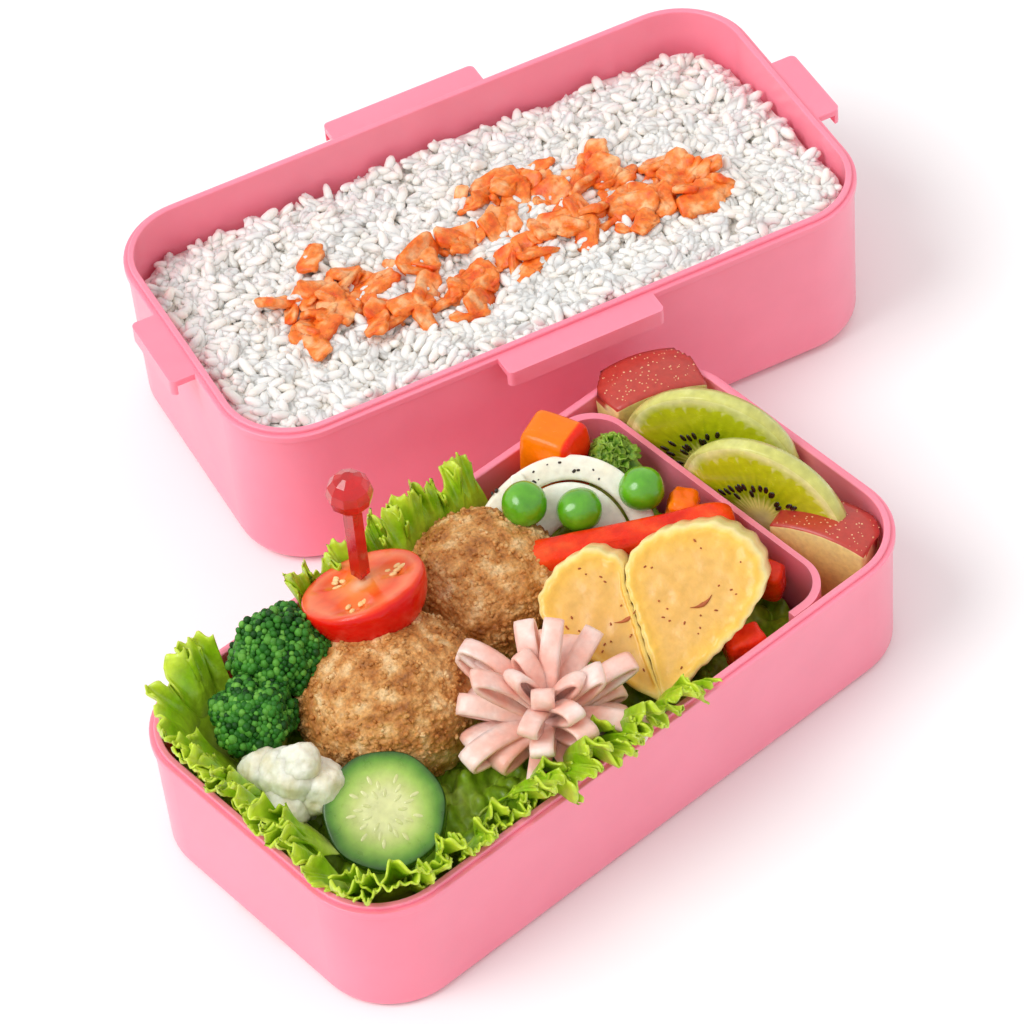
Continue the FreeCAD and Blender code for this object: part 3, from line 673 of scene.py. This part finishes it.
def leaf(start, end, low, high, inset, seed, over=0.0, folds=2.2):
    """A curly leaf that leans out to the wall: broad folds, lobes along its free edge, and a fine frill.

    It runs between two shares of the walls' loop, rises between two heights, and hangs over the rim."""
    points = []
    tints = []
    for row in range(LEAF_ROWS):
        rise = row / (LEAF_ROWS - 1)
        edge = max(rise - LEAF_EDGE_FROM, 0) / (1 - LEAF_EDGE_FROM)
        for column in range(LEAF_COLUMNS):
            share = column / (LEAF_COLUMNS - 1)
            base, out = wall_point(start + (end - start) * share, inset)
            along = Vector((-out.y, out.x, 0))
            phase = FULL_TURN * folds * share + seed
            wander = noise.noise(Vector((share * folds * 1.3, seed, 2.0)))
            lobe = abs(sin(phase / 2 + 2 * wander)) ** 0.6
            curl = sin(3.1 * phase + 6 * wander) + 0.6 * sin(7.3 * phase + 9 * wander)
            lean = (inset - 1.5) * rise ** 1.2 + 0.8 * over * edge ** 1.5
            side = lean + 2.2 * sin(phase) * rise + 2.4 * curl * edge ** 1.5
            z = low + (high - low) * rise * (0.62 + 0.38 * lobe)
            z += 1.5 * cos(3.1 * phase + 4 * wander) * edge ** 2
            frill = 0.7 * sin(19 * phase) * edge ** 4
            droop = 2.0 * over / 6 * edge ** 2 * max(sin(phase), 0)
            z += frill - droop
            clear = min(max((z - TIER_HIGH.z - 0.6) / 2.0, 0), 1)
            spot = base + out * min(side, inset - 0.7 + clear * over)
            spot += along * 1.6 * cos(2.3 * phase + 5 * wander) * edge
            points.append((spot.x, spot.y, z))
            tints.append(min(max(0.75 * rise + 0.3 * edge ** 3 + 0.1 * curl * edge, 0), 1))
    return doubled(np.array(points), np.array(tints), LEAF_ROWS, LEAF_COLUMNS)


def left_leaves():
    return [leaf(0.33, 0.415, 27, 48.0, inset=10.0, seed=0.4, over=2.5),
            leaf(0.385, 0.475, 26, 45.5, inset=9.0, seed=2.0, over=3.0, folds=2.4),
            leaf(0.45, 0.53, 24, 45.0, inset=9.0, seed=4.4, over=3.5),
            leaf(0.505, 0.58, 23, 44.0, inset=8.0, seed=1.7, over=3.0),
            leaf(0.35, 0.47, 24, 41.0, inset=15.0, seed=1.2, folds=3.0),
            leaf(0.50, 0.585, 22, 41.0, inset=12.0, seed=3.0, folds=2.4)]


def front_leaves():
    return [leaf(0.56, 0.635, 23, 41.5, inset=7.0, seed=1.0, over=3.0),
            leaf(0.595, 0.68, 25, 48.0, inset=11.0, seed=3.1, over=9.0),
            leaf(0.66, 0.725, 26, 46.0, inset=7.0, seed=0.2, over=8.0),
            leaf(0.575, 0.66, 22, 43.0, inset=17.0, seed=5.0)]


def back_leaves():
    return [leaf(0.14, 0.215, 28, 48.0, inset=8.0, seed=0.9, over=2.0),
            leaf(0.19, 0.275, 28, 47.0, inset=9.0, seed=2.2, over=2.0, folds=2.4)]


def floor_leaf():
    """A rumpled leaf that fills the plan of the main compartment."""
    rows = 110
    columns = 200
    points = []
    for row in range(rows):
        for column in range(columns):
            spot = main_spot(0.015 + 0.965 * column / (columns - 1), -0.96 + 1.92 * row / (rows - 1))
            broad = 4.0 * noise.noise(Vector((spot.x / 7, spot.y / 7, 1)))
            small = 3.4 * noise.noise(Vector((spot.x / 3, spot.y / 3, 5)))
            z = FLOOR_LEAF_HEIGHT + broad + small
            if not in_plan(spot.x, spot.y, FLOOR_LEAF_INSET):
                z = FLOOR_LEAF_RIM
            while not in_plan(spot.x, spot.y, FLOOR_LEAF_INSET):
                spot *= 0.99
            points.append((spot.x, spot.y, z))
    return doubled(np.array(points), np.zeros(rows * columns), rows, columns)


def make_lettuce():
    green = lettuce()
    for name, leaves in (("left", left_leaves()), ("front", front_leaves()), ("back", back_leaves())):
        dish("lettuce_" + name + "_leaves", joined(leaves), green, "lettuce_" + name)
    dish("lettuce_floor_leaf", floor_leaf(), lettuce_shade(), "lettuce_bed")


# Broccoli and cauliflower

def broccoli():
    stops = [(0.0, (16, 52, 12)), (0.35, (34, 98, 24)), (0.7, (66, 138, 42)), (1.0, (118, 182, 70))]
    return surface("broccoli", stops, True, scale=300.0, bump=0.3, bump_scale=1500.0, shine=0.25)


def broccoli_stalk():
    stops = [(0.3, (128, 146, 48)), (0.7, (186, 190, 96))]
    return surface("broccoli_stalk", stops, scale=150.0, mottle=0.15, rough_mid=0.4)


def cauliflower():
    stops = [(0.3, (226, 214, 178)), (0.6, (246, 242, 226))]
    return surface("cauliflower", stops, mottle=0.12, bump=0.35, bump_scale=1200.0, soft=0.25)


def on_ball(up, turn):
    """Direction at a height of -1 to 1 on a ball."""
    flat = sqrt(max(1 - up * up, 0))
    return Vector(polar(flat, turn, up))


def floret(radius, heads, buds, bud_size, seed):
    """Round heads of several sizes on a dome, each covered in small buds."""
    parts = []
    for head in range(heads):
        out = on_ball(1 - 1.1 * (head + 0.5) / heads, head * SPIRAL_TURN + seed)
        size = radius * DICE.uniform(0.3, 0.46)
        middle = out * (radius - size) * DICE.uniform(0.9, 1.15)
        parts.append(moved(lump((size, size, size), 3, tint=0.05), Matrix.Translation(middle)))
        for number in range(buds):
            out = on_ball(1 - 1.6 * (number + 0.5) / buds, number * 2.399 + head)
            small = bud_size * DICE.uniform(0.6, 1.3)
            at = middle + out * size * DICE.uniform(0.92, 1.14)
            bud = lump((small, small, small * 1.2), 2, power=0.9, tint=DICE.uniform(0.1, 1.0))
            parts.append(moved(bud, Matrix.Translation(at)))
    return parts


def stem(length, wide, top_wide):
    """A round stalk with four soft flutes, which runs down from the origin."""
    profile = [(0.0, 0.0, 0.0), (top_wide, -0.5, 0.0), (wide, -length, 0.0), (0.0, -length - 0.5, 0.0)]
    return lathe(profile, lambda angle: 1 + 0.08 * sin(4 * angle), 32)


def make_broccoli():
    green = broccoli()
    stalk = broccoli_stalk()
    for node, radius, height, at in (("broccoli_back", 11.5, 38.5, (0.25, 0.73)),
                                     ("broccoli_front", 10.0, 34.0, (0.15, 0.55))):
        place = turned(20, main_spot(*at, height))
        buds = floret(radius, heads=13, buds=120, bud_size=0.85, seed=height)
        dish(node + "_buds", moved(joined(buds), place), green, node)
        foot = moved(stem(20, 5.0, 7.5), place @ Matrix.Translation((0, 0, 4)))
        dish(node + "_stalk", foot, stalk)


def make_cauliflower():
    lobes = []
    for x, y, z, size in ((0, 0, 0, 7.4), (4, -5, -2, 6.6), (-3, 6, -1, 6.0),
                          (2, -1, 4, 5.4), (-5, -3, -4, 6.0)):
        curd = lump((size, size, size), 5, bumps=((5.0, 1.3), (1.6, 0.35)), seed=size)
        lobes.append(moved(curd, Matrix.Translation((x, y, z))))
    lobes.append(moved(stem(14, 5.0, 5.5), Matrix.Translation((0, 0, -4))))
    place = turned(0, main_spot(0.118, 0.13, 32.5))
    dish("cauliflower_curd", moved(joined(lobes), place), cauliflower(), "cauliflower")


# Tomato and cucumber

def tomato():
    stops = [(0.0, (252, 196, 150)), (0.2, (248, 140, 60)), (0.5, (240, 84, 26)),
             (0.72, (246, 130, 84)), (0.86, (240, 60, 20)), (0.95, (228, 16, 8))]
    return surface("tomato", stops, True, scale=160.0, mottle=0.12, mottle_scale=250.0, rough_mid=0.2,
                   bump=0.15, bump_scale=500.0, coat=0.25, soft=0.1, shine=0.25)


def tomato_seed():
    return small_look("tomato_seed", (246, 190, 104), (252, 220, 160), mottle=0.1, rough_mid=0.25, coat=0.5)


def half_tomato():
    """A cut face with pockets for seeds, over a round back."""
    profile = flat_rings(30, 0.84)
    steps = 14
    for step in range(1, steps + 1):
        angle = QUARTER_TURN * step / steps
        profile.append((cos(angle) ** 0.8, -TOMATO_DEPTH * sin(angle), 1.0))
    points, faces, tints = lathe(profile, lambda angle: TOMATO_RADIUS)
    for number, point in enumerate(points):
        if point[2] == 0.0:
            reach = hypot(point[0], point[1]) / TOMATO_RADIUS
            angle = atan2(point[1], point[0])
            swing = max(sin(TOMATO_POCKETS * angle + TOMATO_POCKET_TURN), 0)
            pocket = swing * max(1 - abs(reach - 0.58) / 0.3, 0)
            point[2] = -TOMATO_POCKET_DEPTH * pocket
            tints[number] = tints[number] * (1 - pocket) + 0.3 * pocket
    return points, faces, tints


def make_tomato():
    place = facing(110, main_spot(0.409, 0.63, 49.5)) @ rotation(-14, "Y")
    dish("tomato_flesh", moved(half_tomato(), place), tomato(), "tomato_half")
    seeds = []
    for pocket in range(TOMATO_POCKETS):
        middle = (QUARTER_TURN - TOMATO_POCKET_TURN + FULL_TURN * pocket) / TOMATO_POCKETS
        for number in range(6):
            angle = middle + DICE.uniform(-0.3, 0.3)
            reach = TOMATO_RADIUS * DICE.uniform(0.45, 0.72)
            seeds.append(seed((1.1, 0.7, 0.5), place, reach, angle, -1.0))
    dish("tomato_seeds", joined(seeds), tomato_seed())


def cucumber():
    stops = [(0.0, (226, 226, 164)), (0.3, (232, 232, 170)), (0.45, (210, 218, 134)),
             (0.64, (164, 198, 84)), (0.8, (92, 148, 32)), (0.92, (28, 76, 8))]
    return surface("cucumber", stops, True, scale=140.0, mottle=0.15, mottle_scale=350.0, rough_mid=0.3,
                   bump_scale=600.0, coat=0.35, soft=0.15)


def cucumber_seed():
    return small_look("cucumber_seed", (204, 208, 128), (230, 230, 172), mottle=0.1, rough_mid=0.25, coat=0.4)


def make_cucumber():
    disc = lathe(slab_profile(CUCUMBER_LENGTH, 1.2), lambda angle: CUCUMBER_RADIUS + 0.15 * sin(7 * angle))
    place = facing(62, main_spot(0.189, -0.35, 30))
    dish("cucumber_flesh", moved(disc, place), cucumber(), "cucumber_slice")
    seeds = []
    reaches = (4.2, 6.0, 7.8)
    for number in range(CUCUMBER_SEEDS):
        angle = FULL_TURN * number / CUCUMBER_SEEDS + DICE.uniform(-0.08, 0.08)
        reach = reaches[number % len(reaches)]
        seeds.append(seed((1.3, 0.5, 0.14), place, reach, angle, -0.05))
    dish("cucumber_seeds", joined(seeds), cucumber_seed())


# Ham

def ham():
    stops = [(0.3, (250, 178, 158)), (0.5, (252, 204, 190)), (0.7, (255, 230, 222))]
    return surface("ham", stops, scale=130.0, mottle=0.1, rough_mid=0.36, bump=0.15, bump_scale=700.0,
                   coat=0.15, soft=0.3)


def petal_path(length, fat, droop, steps=24):
    """A strip that runs out and folds back to where it starts."""
    path = []
    for step in range(steps + 1):
        turn = FULL_TURN * step / steps
        x = length * (1 - cos(turn)) / 2
        path.append((x, fat * sin(turn) * (0.35 + 0.65 * x / length) - droop * x * x))
    return path


def petal_ring(count, rise, reach, lift, width):
    """Folded strips side by side in a ring, all at about the same rise."""
    petals = []
    for number in range(count):
        length = reach * DICE.uniform(0.75, 1.1)
        droop = DICE.uniform(0.0, 0.014)
        fat = DICE.uniform(2.0, 3.3)
        tilt = rotation(-rise + DICE.gauss(0, 6), "Y")
        spin = 360 * (number + DICE.uniform(-0.2, 0.2)) / count + rise * 2
        roll = rotation(DICE.gauss(0, 14), "X")
        strip = band(petal_path(length, fat, droop), width * DICE.uniform(0.85, 1.1), HAM_THICKNESS)
        petals.append(moved(strip, turned(spin, (0, 0, lift)) @ tilt @ roll))
    return petals


def make_ham():
    petals = petal_ring(count=11, rise=6, reach=22, lift=-2.0, width=5.8)
    petals += petal_ring(count=9, rise=26, reach=23, lift=-1.0, width=5.6)
    petals += petal_ring(count=7, rise=50, reach=23, lift=0.0, width=5.4)
    petals += petal_ring(count=5, rise=76, reach=21, lift=1.0, width=5.2)
    petals.append(stem(8, 4.5, 9.0))
    flower = moved(joined(petals), turned(10, main_spot(0.482, -0.56, 35.0)))
    dish("ham_petals", kept_in(flower), ham(), "ham_flower")


# Egg roll, cut in two halves that make a heart

def egg_roll():
    stops = [(0.0, (234, 180, 90)), (0.55, (236, 184, 94)), (0.78, (242, 188, 76)),
             (0.87, (246, 198, 82)), (0.93, (252, 222, 136)), (1.0, (253, 230, 158))]
    return surface("egg_roll", stops, True, scale=180.0, mottle=0.1, mottle_scale=500.0, rough_mid=0.34,
                   bump=0.25, bump_scale=500.0, coat=0.15, soft=0.25)


def egg_fold():
    return small_look("egg_fold", (150, 62, 20), (190, 98, 40), mottle=0.2, rough_mid=0.4)


def egg_profile(rings=26):
    """A cut face with a low raised rim, and a thick back."""
    profile = []
    for step in range(rings + 1):
        share = step / rings
        raised = 0.45 * exp(-((share - 0.93) / 0.07) ** 2)
        profile.append((share * 0.95, raised, 0.92 * share))
    profile += [(0.985, -0.4, 1.0), (1.0, -1.6, 1.0), (0.99, -8.0, 1.0), (0.97, -15.0, 1.0)]
    profile.append((0.0, -EGG_THICKNESS, 0.6))
    return profile


def egg_folds(middle, reach_at, place):
    """One curved fold near the middle of a cut face, and small specks about it."""
    folds = []
    last = 7
    for number in range(-last, last + 1):
        turn = 0.5 * number / last + EGG_FOLD_TURN
        x = middle.x + 2 + EGG_FOLD_RADIUS * sin(turn)
        y = middle.y + 3 - EGG_FOLD_RADIUS * cos(turn)
        wide = 0.55 * (1 - abs(number) / (last + 1))
        folds.append(moved(lump((0.7, wide, 0.3), 2), place @ turned(degrees(turn), (x, y, 0.1))))
    for number in range(18):
        turn = DICE.uniform(0, FULL_TURN)
        reach = reach_at(turn) * sqrt(DICE.uniform(0, 0.6))
        at = (middle.x + reach * cos(turn), middle.y + reach * sin(turn), 0.1)
        folds.append(moved(lump((DICE.uniform(0.2, 0.5), 0.22, 0.3), 2), place @ turned(90 * turn, at)))
    return folds


def make_egg_half(node, corners, place, yolk, brown):
    curve = smooth_loop(corners, 16)
    middle = sum(curve, Vector((0, 0))) / len(curve)
    reach_at = loop_outline(curve, middle)

    def outline(angle):
        return reach_at(angle) * (1 + 0.012 * sin(26 * angle) + 0.008 * sin(11 * angle))

    points, faces, tints = lathe(egg_profile(), outline, 200)
    points[:, 1] -= EGG_SLANT * np.minimum(points[:, 2], 0)
    points[:, 2] += rough(points, 3.5, 0.3, middle.y)
    points[:, :2] += np.array(middle)
    dish(node + "_slice", kept_in(moved((points, faces, tints), place)), yolk, node)
    folds = egg_folds(middle, reach_at, place)
    dish(node + "_folds", joined(folds), brown)


def make_egg():
    yolk = egg_roll()
    brown = egg_fold()
    place = turned(AZIMUTH - 12, main_spot(0.643, -0.89, 31.5), 30)
    left = [(-0.6, 1.2), (-14, 7.5), (-27, 15), (-31, 23.5), (-27.5, 31.5), (-21, 36.5), (-16, 36),
            (-12.2, 34.2), (-10.7, 28.2), (-7.9, 21.2), (-5.2, 14.2), (-2.4, 7.1)]
    right = [(0.2, 1.2), (-2.4, 7.1), (-5.2, 14.1), (-7.9, 21.1), (-10.7, 28.1), (-11, 34), (-6.5, 40),
             (2, 43.5), (11, 44.0), (18.5, 39.5), (22, 32), (18, 21.5), (9, 10.2)]
    make_egg_half("egg_roll_left", left, place, yolk, brown)
    make_egg_half("egg_roll_right", right, place, yolk, brown)


# Small vegetables

def red_pepper():
    stops = [(0.3, (224, 26, 8)), (0.55, (246, 62, 14)), (0.8, (252, 104, 44))]
    return surface("red_pepper", stops, scale=150.0, mottle=0.15, mottle_scale=420.0, rough_mid=0.26,
                   bump=0.3, bump_scale=600.0, coat=0.2, soft=0.05, shine=0.2)


def orange_pepper():
    stops = [(0.3, (246, 84, 2)), (0.6, (254, 122, 4)), (0.8, (255, 158, 40))]
    return surface("orange_pepper", stops, scale=120.0, mottle=0.1, rough_mid=0.24, bump=0.15,
                   bump_scale=500.0, coat=0.2, soft=0.05, shine=0.2)


def two_tone_pepper():
    stops = [(0.2, (254, 124, 6)), (0.5, (252, 84, 6)), (0.8, (246, 40, 8))]
    return surface("pepper_chunk", stops, True, mottle=0.1, rough_mid=0.24,
                   bump_scale=500.0, coat=0.2, soft=0.05, shine=0.2)


def onion():
    stops = [(0.3, (252, 240, 216)), (0.6, (255, 250, 236))]
    return surface("onion", stops, scale=100.0, mottle=0.12, rough_mid=0.34, bump_scale=300.0,
                   coat=0.15, soft=0.3)


def ground_pepper():
    return small_look("ground_pepper", (20, 14, 10), (70, 48, 34), mottle=0.2, rough_mid=0.5)


def green_pea():
    stops = [(0.3, (70, 146, 12)), (0.6, (98, 176, 22)), (0.8, (128, 196, 40))]
    return surface("pea", stops, scale=140.0, mottle=0.1, rough_mid=0.2, bump=0.15, bump_scale=500.0,
                   coat=0.6, soft=0.1)


def make_pepper_strip(red):
    strip = lump((28.0, 4.6, 5.2), 6, power=0.4, bumps=((9.0, 0.6),), seed=3.0)
    points = strip[0]
    points[:, 1] += STRIP_BEND * points[:, 0] ** 2
    place = turned(-30, main_spot(0.81, 0.04, 36.6))
    dish("pepper_strip_flesh", moved(strip, place), red, "pepper_strip")


def make_pepper_chunk():
    """A block whose tint turns red close to its skin side."""
    points, faces, tints = lump((CHUNK_HALF_WIDTH, 6.0, 11.5), 5, power=0.3, bumps=((6.0, 0.7),), seed=5.0)
    tints = np.clip(points[:, 0] / CHUNK_HALF_WIDTH * 6 - 3.6, 0, 1)
    chunk = moved((points, faces, tints), turned(-70, main_spot(0.866, 0.78, 37.0)))
    dish("pepper_chunk_flesh", chunk, two_tone_pepper(), "pepper_chunk")


def make_carrot():
    carrot = lump((4.6, 3.8, 7.0), 5, power=0.5, bumps=((4.0, 0.9), (1.5, 0.3)), seed=8.0)
    place = turned(35, main_spot(0.945, 0.03, 33.6), 8)
    dish("carrot_flesh", moved(carrot, place), orange_pepper(), "carrot_piece")


def make_pepper_bits(red):
    bits = []
    for turn, at in ((-60, (0.955, -0.6)), (-20, (0.83, -0.87))):
        bit = lump((4.6, 3.4, 5.2), 5, power=0.4, bumps=((4.0, 0.9),), seed=turn)
        bits.append(moved(bit, turned(turn, main_spot(*at, 31.0), 12)))
    dish("pepper_bits", joined(bits), red, "pepper_pieces")


def squarish(value):
    """Bend a cosine or a sine, so that a circle gets closer to a square."""
    return np.sign(value) * abs(value) ** 0.35


def onion_arc(radius, thickness, rows=97, columns=20):
    """Part of a ring of an onion, with a nearly square section."""
    points = []
    for row in range(rows):
        angle = radians(ONION_FROM + ONION_SWEEP * row / (rows - 1))
        for column in range(columns):
            turn = FULL_TURN * column / columns
            wave = 0.5 * sin(3 * angle + radius)
            reach = radius - thickness + thickness * squarish(cos(turn)) + wave
            z = ONION_HALF_WIDTH * squarish(sin(turn))
            points.append(polar(reach, angle, z))
    return np.array(points), tube_faces(rows, columns), np.zeros(len(points))


def make_onion():
    white = onion()
    place = facing(50, main_spot(0.77, 0.34, 29.5))
    for node, radius, thickness in (("onion_outer", 23.0, 3.0), ("onion_inner", 16.4, 5.2)):
        dish(node + "_band", moved(onion_arc(radius, thickness), place), white, node)
    leg = lump((1.9, 7.0, 1.1), 4, power=0.4, bumps=((4.0, 0.4),), seed=2.0)
    leg = moved(leg, place @ turned(12, (-9.0, 13.0, 3.2)))
    dish("onion_leg", leg, white)
    grains = []
    for number in range(16):
        angle = DICE.uniform(0.3, 2.8)
        x = ONION_PEPPER_RADIUS * cos(angle) + DICE.gauss(0, 1.2)
        y = ONION_PEPPER_RADIUS * sin(angle) + DICE.gauss(0, 1.2)
        size = DICE.uniform(0.2, 0.6)
        grain = lump((size, size * 0.7, size * 0.5), 2, power=0.7)
        grains.append(moved(grain, place @ turned(number * 40, (x, y, ONION_HALF_WIDTH))))
    dish("onion_pepper", joined(grains), ground_pepper())


def make_peas():
    peas = []
    for along, across, rise in ((0.735, 0.53, 2.7), (0.80, 0.33, 0.0), (0.905, 0.20, 0.0)):
        pea = lump((5.5, 5.5, 5.4), 5, bumps=((5.0, 0.35),), seed=along * 40)
        peas.append(moved(pea, turned(0, main_spot(along, across, PEA_HEIGHT + rise))))
    dish("peas_round", joined(peas), green_pea(), "peas")


def make_small_vegetables():
    red = red_pepper()
    make_pepper_strip(red)
    make_pepper_chunk()
    make_carrot()
    make_pepper_bits(red)
    make_onion()
    make_peas()


def parsley():
    stops = [(0.0, (64, 110, 16)), (0.6, (112, 160, 30)), (1.0, (170, 204, 70))]
    return surface("parsley", stops, True, scale=250.0, rough_mid=0.42, bump=0.4)


def parsley_leaf(size, wave):
    """A small cup with a wavy edge."""
    profile = [(0.0, -0.5, 0.0), (0.5, 0.0, 0.5), (1.0, 0.9, 1.0), (0.9, 0.4, 0.8), (0.0, -0.9, 0.0)]

    def outline(angle):
        return size * (1 + 0.22 * sin(5 * angle + wave) + 0.12 * sin(11 * angle))

    return lathe(profile, outline, 40)


def make_parsley():
    leaves = []
    for number in range(PARSLEY_LEAVES):
        leaflet = parsley_leaf(DICE.uniform(1.6, 2.8), DICE.uniform(0, 6))
        turn = number * SPIRAL_TURN
        out = on_ball(1 - 1.3 * number / PARSLEY_LEAVES, turn)
        at = (out.x * 4.6, out.y * 4.6, out.z * 5.0)
        leaves.append(moved(leaflet, turned(degrees(turn) + 90, at, DICE.uniform(10, 70))))
    leaves.append(stem(10, 1.6, 2.2))
    sprig = moved(joined(leaves), turned(0, main_spot(0.935, 0.56, 37.5)))
    dish("parsley_leaves", sprig, parsley(), "parsley")


# Fruit

def kiwi():
    stops = [(0.0, (238, 234, 176)), (0.2, (226, 222, 120)), (0.34, (146, 166, 8)), (0.6, (192, 202, 20)),
             (0.78, (200, 208, 34)), (0.88, (236, 236, 160)), (0.94, (230, 230, 150)), (1.0, (210, 208, 116))]
    return surface("kiwi", stops, True, scale=170.0, mottle=0.16, mottle_scale=420.0, rough_mid=0.24,
                   bump=0.25, bump_scale=500.0, coat=0.2, soft=0.1, shine=0.25)


def kiwi_seed():
    return small_look("kiwi_seed", (14, 10, 6), (44, 30, 16), mottle=0.2, rough_mid=0.2, coat=0.5)


def kiwi_outline(angle):
    wide, high = KIWI_RADII
    return 1 / hypot(cos(angle) / wide, sin(angle) / high)


def kiwi_slice(place):
    """An oval slice with rays in its tint, kept inside the fruit compartment."""
    points, faces, tints = lathe(slab_profile(KIWI_THICKNESS, 1.6, 30), kiwi_outline, 128)
    for number, point in enumerate(points):
        angle = atan2(point[1], point[0])
        if 0.15 < tints[number] < 0.8:
            tints[number] += 0.05 * sin(38 * angle) + 0.03 * sin(61 * angle)
    inside = [clipped(place @ Vector(point)) for point in points]
    return np.array(inside), faces, tints


def kiwi_seeds(place):
    seeds = []
    for number in range(KIWI_SEEDS):
        angle = FULL_TURN * number / KIWI_SEEDS + DICE.uniform(-0.05, 0.05)
        reach = DICE.uniform(0.30, 0.50) * KIWI_SEED_REACH
        seeds.append(seed((1.25, 0.6, 0.35), place, reach, angle, 0.0))
    return joined(seeds)


def make_kiwi():
    flesh = kiwi()
    black = kiwi_seed()
    for node, turn, at in (("kiwi_front", -69, (0.37, -0.2)), ("kiwi_back", -59, (0.5, 0.31))):
        place = turned(turn, fruit_spot(*at, 28.5), 90) @ Matrix.Translation((0, 0, 3.5))
        piece(node + "_flesh", kiwi_slice(place), flesh, "fruit", node)
        piece(node + "_seeds", kiwi_seeds(place), black, "fruit")


def apple():
    stops = [(0.0, (255, 226, 110)), (0.5, (255, 238, 146)), (0.78, (255, 242, 180)),
             (0.84, (212, 92, 68)), (1.0, (192, 60, 48))]
    return surface("apple", stops, True, scale=240.0, mottle=0.14, mottle_scale=700.0, rough_mid=0.34,
                   bump_scale=700.0, coat=0.25, soft=0.12)


def apple_specks():
    return small_look("apple_specks", (226, 150, 110), (246, 206, 160), mottle=0.1, rough_mid=0.4)


def apple_point(share, reach, angle):
    """Point of a wedge: share of its half length, reach from the core and angle from its middle."""
    return Vector((APPLE_HALF_LENGTH * share, reach * sin(angle), reach * cos(angle)))


def apple_wedge(depth, place):
    """A wedge with two cut faces and a skin that bulges in the middle of its length."""
    flesh = np.linspace(APPLE_CORE, depth - APPLE_SKIN, 12)
    section = [(radius, -APPLE_HALF_ANGLE, 0.62 * radius / depth) for radius in flesh]
    section += [(depth, angle, 1.0) for angle in np.linspace(-APPLE_HALF_ANGLE, APPLE_HALF_ANGLE, 12)]
    section += [(radius, APPLE_HALF_ANGLE, 0.55 * radius / depth) for radius in flesh[::-1]]
    points = []
    tints = []
    for row in range(APPLE_ROWS):
        share = 2 * row / (APPLE_ROWS - 1) - 1
        for radius, angle, tint in section:
            reach = radius - APPLE_BULGE * share * share * radius / depth
            points.append(clipped(place @ apple_point(share, reach, angle)))
            tints.append(tint)
    return np.array(points), tube_faces(APPLE_ROWS, len(section)), np.array(tints)


def speckles(depth, place, turn, tilt):
    """Flat pale specks on a wedge's skin."""
    specks = []
    for number in range(APPLE_SPECKS):
        share = DICE.uniform(-0.95, 0.95)
        angle = DICE.uniform(-0.9, 0.9) * APPLE_HALF_ANGLE
        at = place @ apple_point(share, depth - APPLE_BULGE * share * share, angle)
        size = DICE.uniform(0.1, 0.28)
        specks.append(moved(lump((size, size, 0.12), 2), turned(turn, clipped(at), tilt)))
    return joined(specks)


def make_apples():
    flesh = apple()
    pale = apple_specks()
    for node, depth, turn, at, tilt in (("apple_front", 40.0, -70, (0.27, -0.66), -10),
                                        ("apple_back", 43.0, -21, (0.5, 0.8), -4)):
        place = turned(turn, fruit_spot(*at, -2.5), tilt)
        piece(node + "_specks", speckles(depth, place, turn, tilt), pale, "fruit")
        piece(node + "_wedge", apple_wedge(depth, place), flesh, "fruit", node)


# Stage

def make_floor():
    bpy.ops.mesh.primitive_plane_add(size=FLOOR_SIZE, location=(0, 0, -FLOOR_DROP))
    floor = bpy.context.object
    floor.name = "floor"
    paper = bpy.data.materials.new("white_paper")
    paper.use_nodes = True
    shader = paper.node_tree.nodes["Principled BSDF"]
    set_inputs(shader, {"Base Color": FLOOR_COLOUR, "Roughness": FLOOR_ROUGHNESS})
    floor.data.materials.append(paper)


def make_light():
    world = bpy.data.worlds.new("white_room")
    world.use_nodes = True
    set_inputs(world.node_tree.nodes["Background"], {"Color": (1, 1, 1, 1), "Strength": ROOM_LIGHT})
    bpy.context.scene.world = world
    sun = bpy.data.lights.new("window", "SUN")
    sun.energy = WINDOW_LIGHT
    sun.angle = radians(WINDOW_SPREAD)
    lamp = bpy.data.objects.new("window", sun)
    bpy.context.collection.objects.link(lamp)
    lamp.rotation_euler = WINDOW_DIRECTION.to_track_quat("-Z", "Y").to_euler()


def make_camera():
    flat = radians(AZIMUTH)
    rise = radians(ELEVATION)
    look = Vector((-sin(flat) * cos(rise), cos(flat) * cos(rise), -sin(rise)))
    lens = bpy.data.cameras.new("photo_view")
    lens.lens = LENS
    lens.sensor_width = SENSOR_WIDTH
    camera = bpy.data.objects.new("photo_view", lens)
    bpy.context.collection.objects.link(camera)
    camera.location = TARGET - look * DISTANCE
    camera.rotation_mode = "QUATERNION"
    camera.rotation_quaternion = look.to_track_quat("-Z", "Y") @ Quaternion((0, 0, 1), -radians(ROLL))
    bpy.context.scene.camera = camera


dress_container()
make_rice()
make_salmon()
make_croquettes()
make_lettuce()
make_broccoli()
make_cauliflower()
make_tomato()
make_cucumber()
make_ham()
make_egg()
make_small_vegetables()
make_parsley()
make_kiwi()
make_apples()
make_floor()
make_light()
make_camera()
bpy.context.scene.view_settings.view_transform = "Standard"
